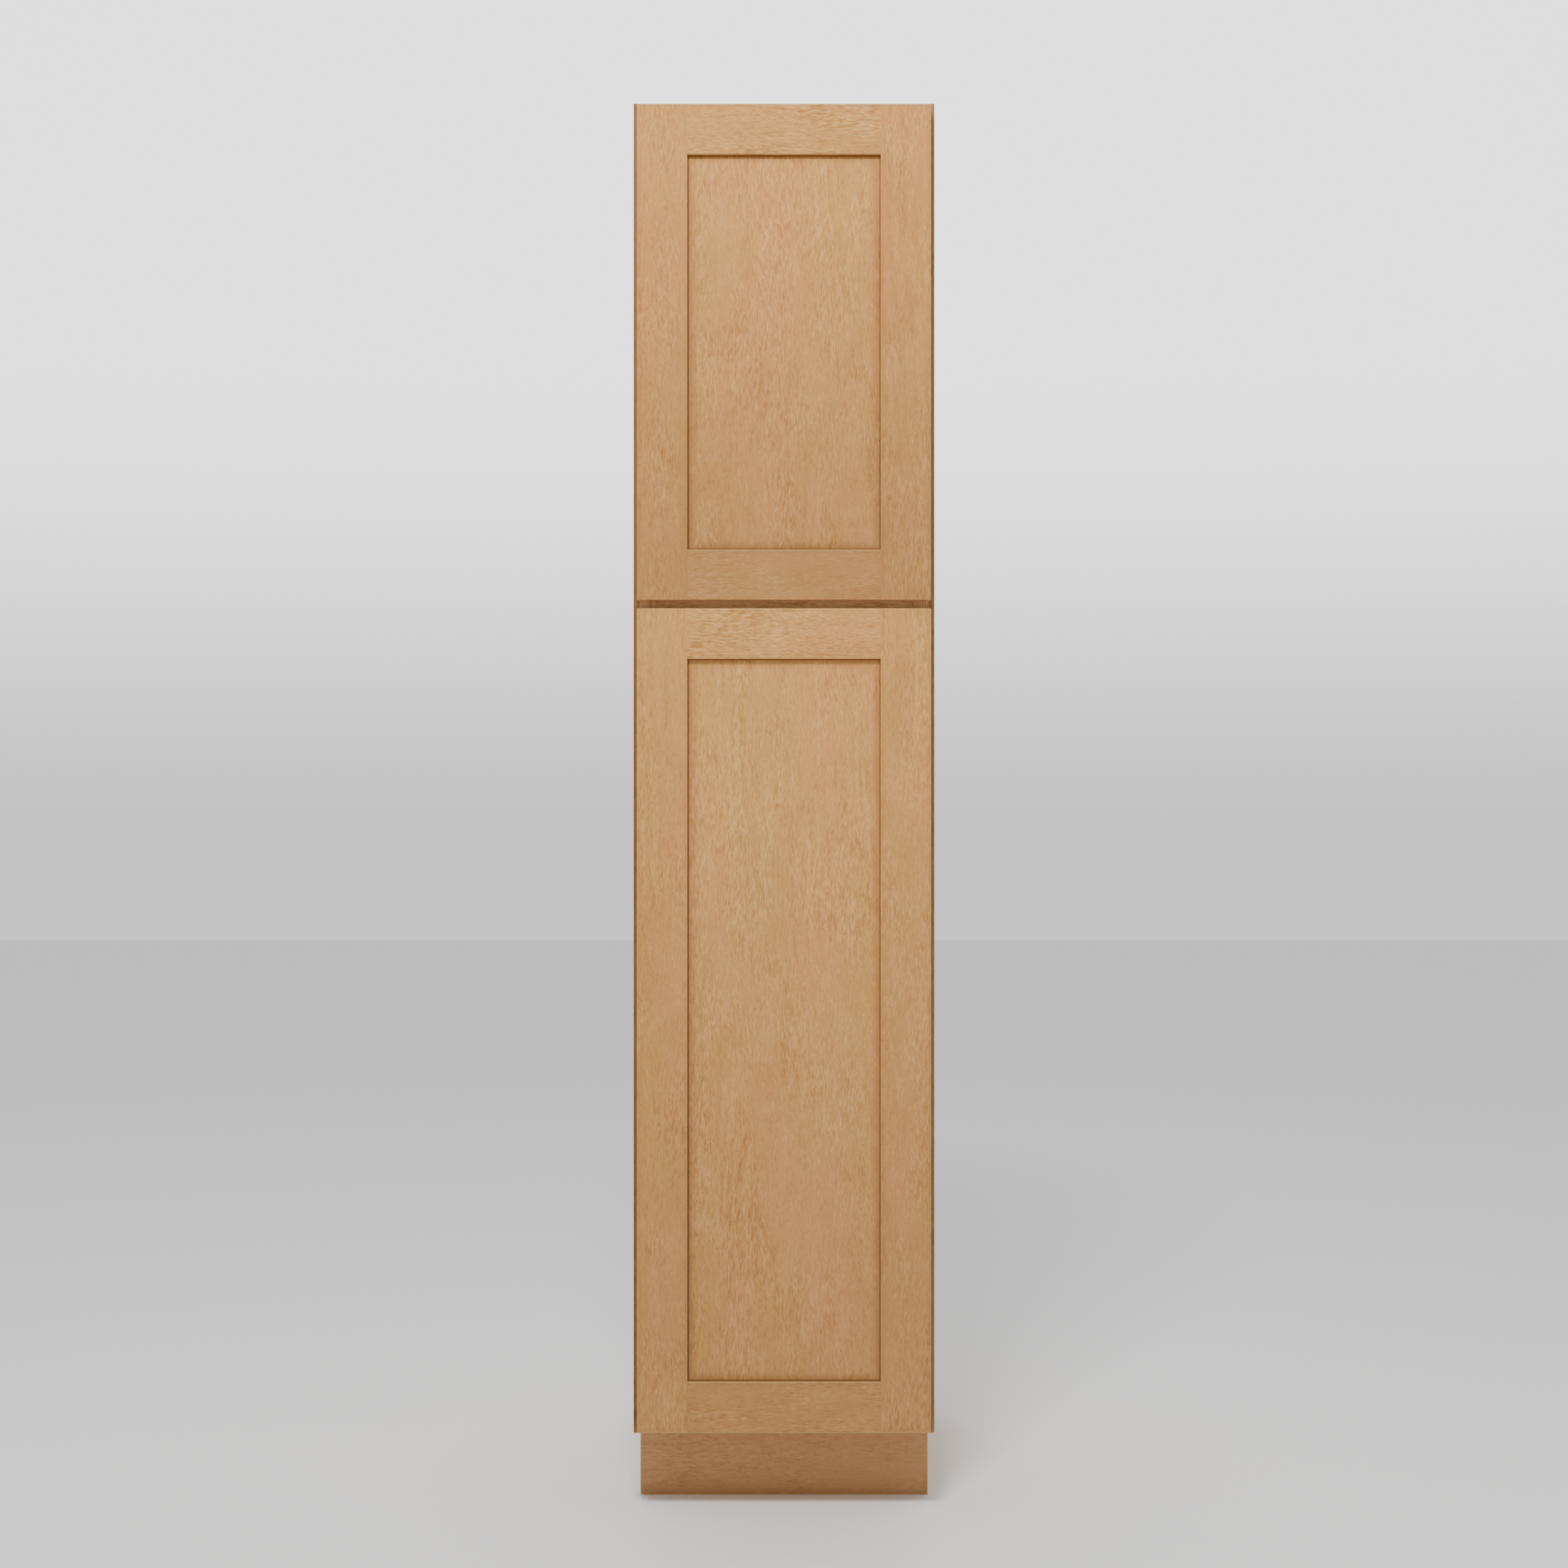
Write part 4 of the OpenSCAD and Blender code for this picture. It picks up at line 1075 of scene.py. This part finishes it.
# ---------------------------------------------------------------------------
# Bumpers. Clear self-adhesive polyurethane domes at the free corners of the
# doors, which hold them just off the face frame.
def clear_rubber():
    paint, tree, where = new_paint("clear bumper")
    place = where["Object"]
    haze = noise(tree, place, (400, 400, 400), 3.0)
    dust = noise(tree, place, (2500, 2500, 2500), 2.0)
    rough = maths(tree, "MULTIPLY_ADD", haze, 0.25, 0.06)
    tone = tint(tree, spread(tree, haze, 0.35, 0.7), (0.92, 0.91, 0.86, 1),
                (0.86, 0.84, 0.76, 1))
    end_paint(tree, tone, rough, dust, 0.1, 0.02 * MM,
              {"IOR": 1.48, "Transmission Weight": 0.8})
    return paint


CLEAR = (clear_rubber(), "clear_bumper")
BUMPER_RADIUS, BUMPER_HIGH, BUMPER_IN = 5.0, 2.9, 14.0
BUMPER_FOOT, BUMPER_WALL = 0.3, 0.5
dome = ([(0, 0), (BUMPER_RADIUS - BUMPER_FOOT, 0), (BUMPER_RADIUS, BUMPER_FOOT)]
        + [(BUMPER_RADIUS * math.cos(a),
            BUMPER_WALL + (BUMPER_HIGH - BUMPER_WALL) * math.sin(a))
           for a in (i * math.pi / 20 for i in range(11))])
dome[-1] = (0, BUMPER_HIGH)
for door in ("lower_door", "upper_door"):
    low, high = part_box(door + "_free_stile")
    domes = []
    for z in (low.z + BUMPER_IN * MM, high.z - BUMPER_IN * MM):
        spot = (Matrix.Translation((high.x - BUMPER_IN * MM, high.y, z))
                @ Matrix.Rotation(-math.pi / 2, 4, "X") @ Matrix.Diagonal((MM, MM, MM, 1)))
        domes.append(turned_shape(dome, 40, spot))
    fit_piece(door + "_domes", domes, CLEAR, door + "_bumpers")

# ---------------------------------------------------------------------------
# Studio: pale floor, soft light all round and from above, and the camera that
# faces the doors.
FLOOR_REACH = 14.0
floor_mesh = bpy.data.meshes.new("studio_floor")
floor_mesh.from_pydata([(x * FLOOR_REACH, y * FLOOR_REACH, 0)
                        for x, y in ((-1, -1), (1, -1), (1, 1), (-1, 1))],
                       [], [(0, 1, 2, 3)])
floor = bpy.data.objects.new("studio_floor", floor_mesh)
bpy.context.scene.collection.objects.link(floor)
floor_paint = bpy.data.materials.new("pale floor")
floor_paint.use_nodes = True
floor_shade = floor_paint.node_tree.nodes["Principled BSDF"]
floor_shade.inputs["Base Color"].default_value = (0.93, 0.93, 0.93, 1)
floor_shade.inputs["Roughness"].default_value = 0.8
floor_shade.inputs["Specular IOR Level"].default_value = 0.2
floor_mesh.materials.append(floor_paint)
floor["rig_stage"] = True

# even light all round, with a brighter wall of light behind the cabinet
ROOM_LIGHT, WALL_LIGHT = 0.48, 1.9
world = bpy.data.worlds.new("studio")
world.use_nodes = True
sky = world.node_tree
sky_shade = sky.nodes["Background"]
sky_shade.inputs["Color"].default_value = (1, 1, 1, 1)
ray = add(sky, "ShaderNodeTexCoord").outputs[0]
behind = spread(sky, part_of(sky, ray, 1), 0.2, 0.95)
above = spread(sky, part_of(sky, ray, 2), -0.02, 0.16, 0.25, 1.0)
glow = maths(sky, "MULTIPLY", behind, above)
sky.links.new(maths(sky, "MULTIPLY_ADD", glow, WALL_LIGHT, ROOM_LIGHT),
              sky_shade.inputs["Strength"])
bpy.context.scene.world = world

LAMP_PLACE, LAMP_TARGET = Vector((-0.30, -2.3, 4.0)), Vector((0, -0.3, 1.6))
lamp = bpy.data.lights.new("key light", "AREA")
lamp.shape = "RECTANGLE"
lamp.size, lamp.size_y = 0.7, 0.6
lamp.energy = 120
lamp_stand = bpy.data.objects.new("key light", lamp)
bpy.context.scene.collection.objects.link(lamp_stand)
lamp_stand.location = LAMP_PLACE
lamp_aim = LAMP_TARGET - LAMP_PLACE
lamp_stand.rotation_euler = lamp_aim.to_track_quat("-Z", "Y").to_euler()

CAMERA_BACK, CAMERA_HEIGHT = 3.927, 1.100
camera = bpy.data.cameras.new("camera")
camera.sensor_width = 36
camera.lens = 59.36
camera_stand = bpy.data.objects.new("camera", camera)
bpy.context.scene.collection.objects.link(camera_stand)
front_of_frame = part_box("frame_stile_left")[0].y
camera_stand.location = (0, front_of_frame - CAMERA_BACK, CAMERA_HEIGHT)
camera_stand.rotation_euler = (math.pi / 2, 0, 0)
bpy.context.scene.camera = camera_stand

low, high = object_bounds()
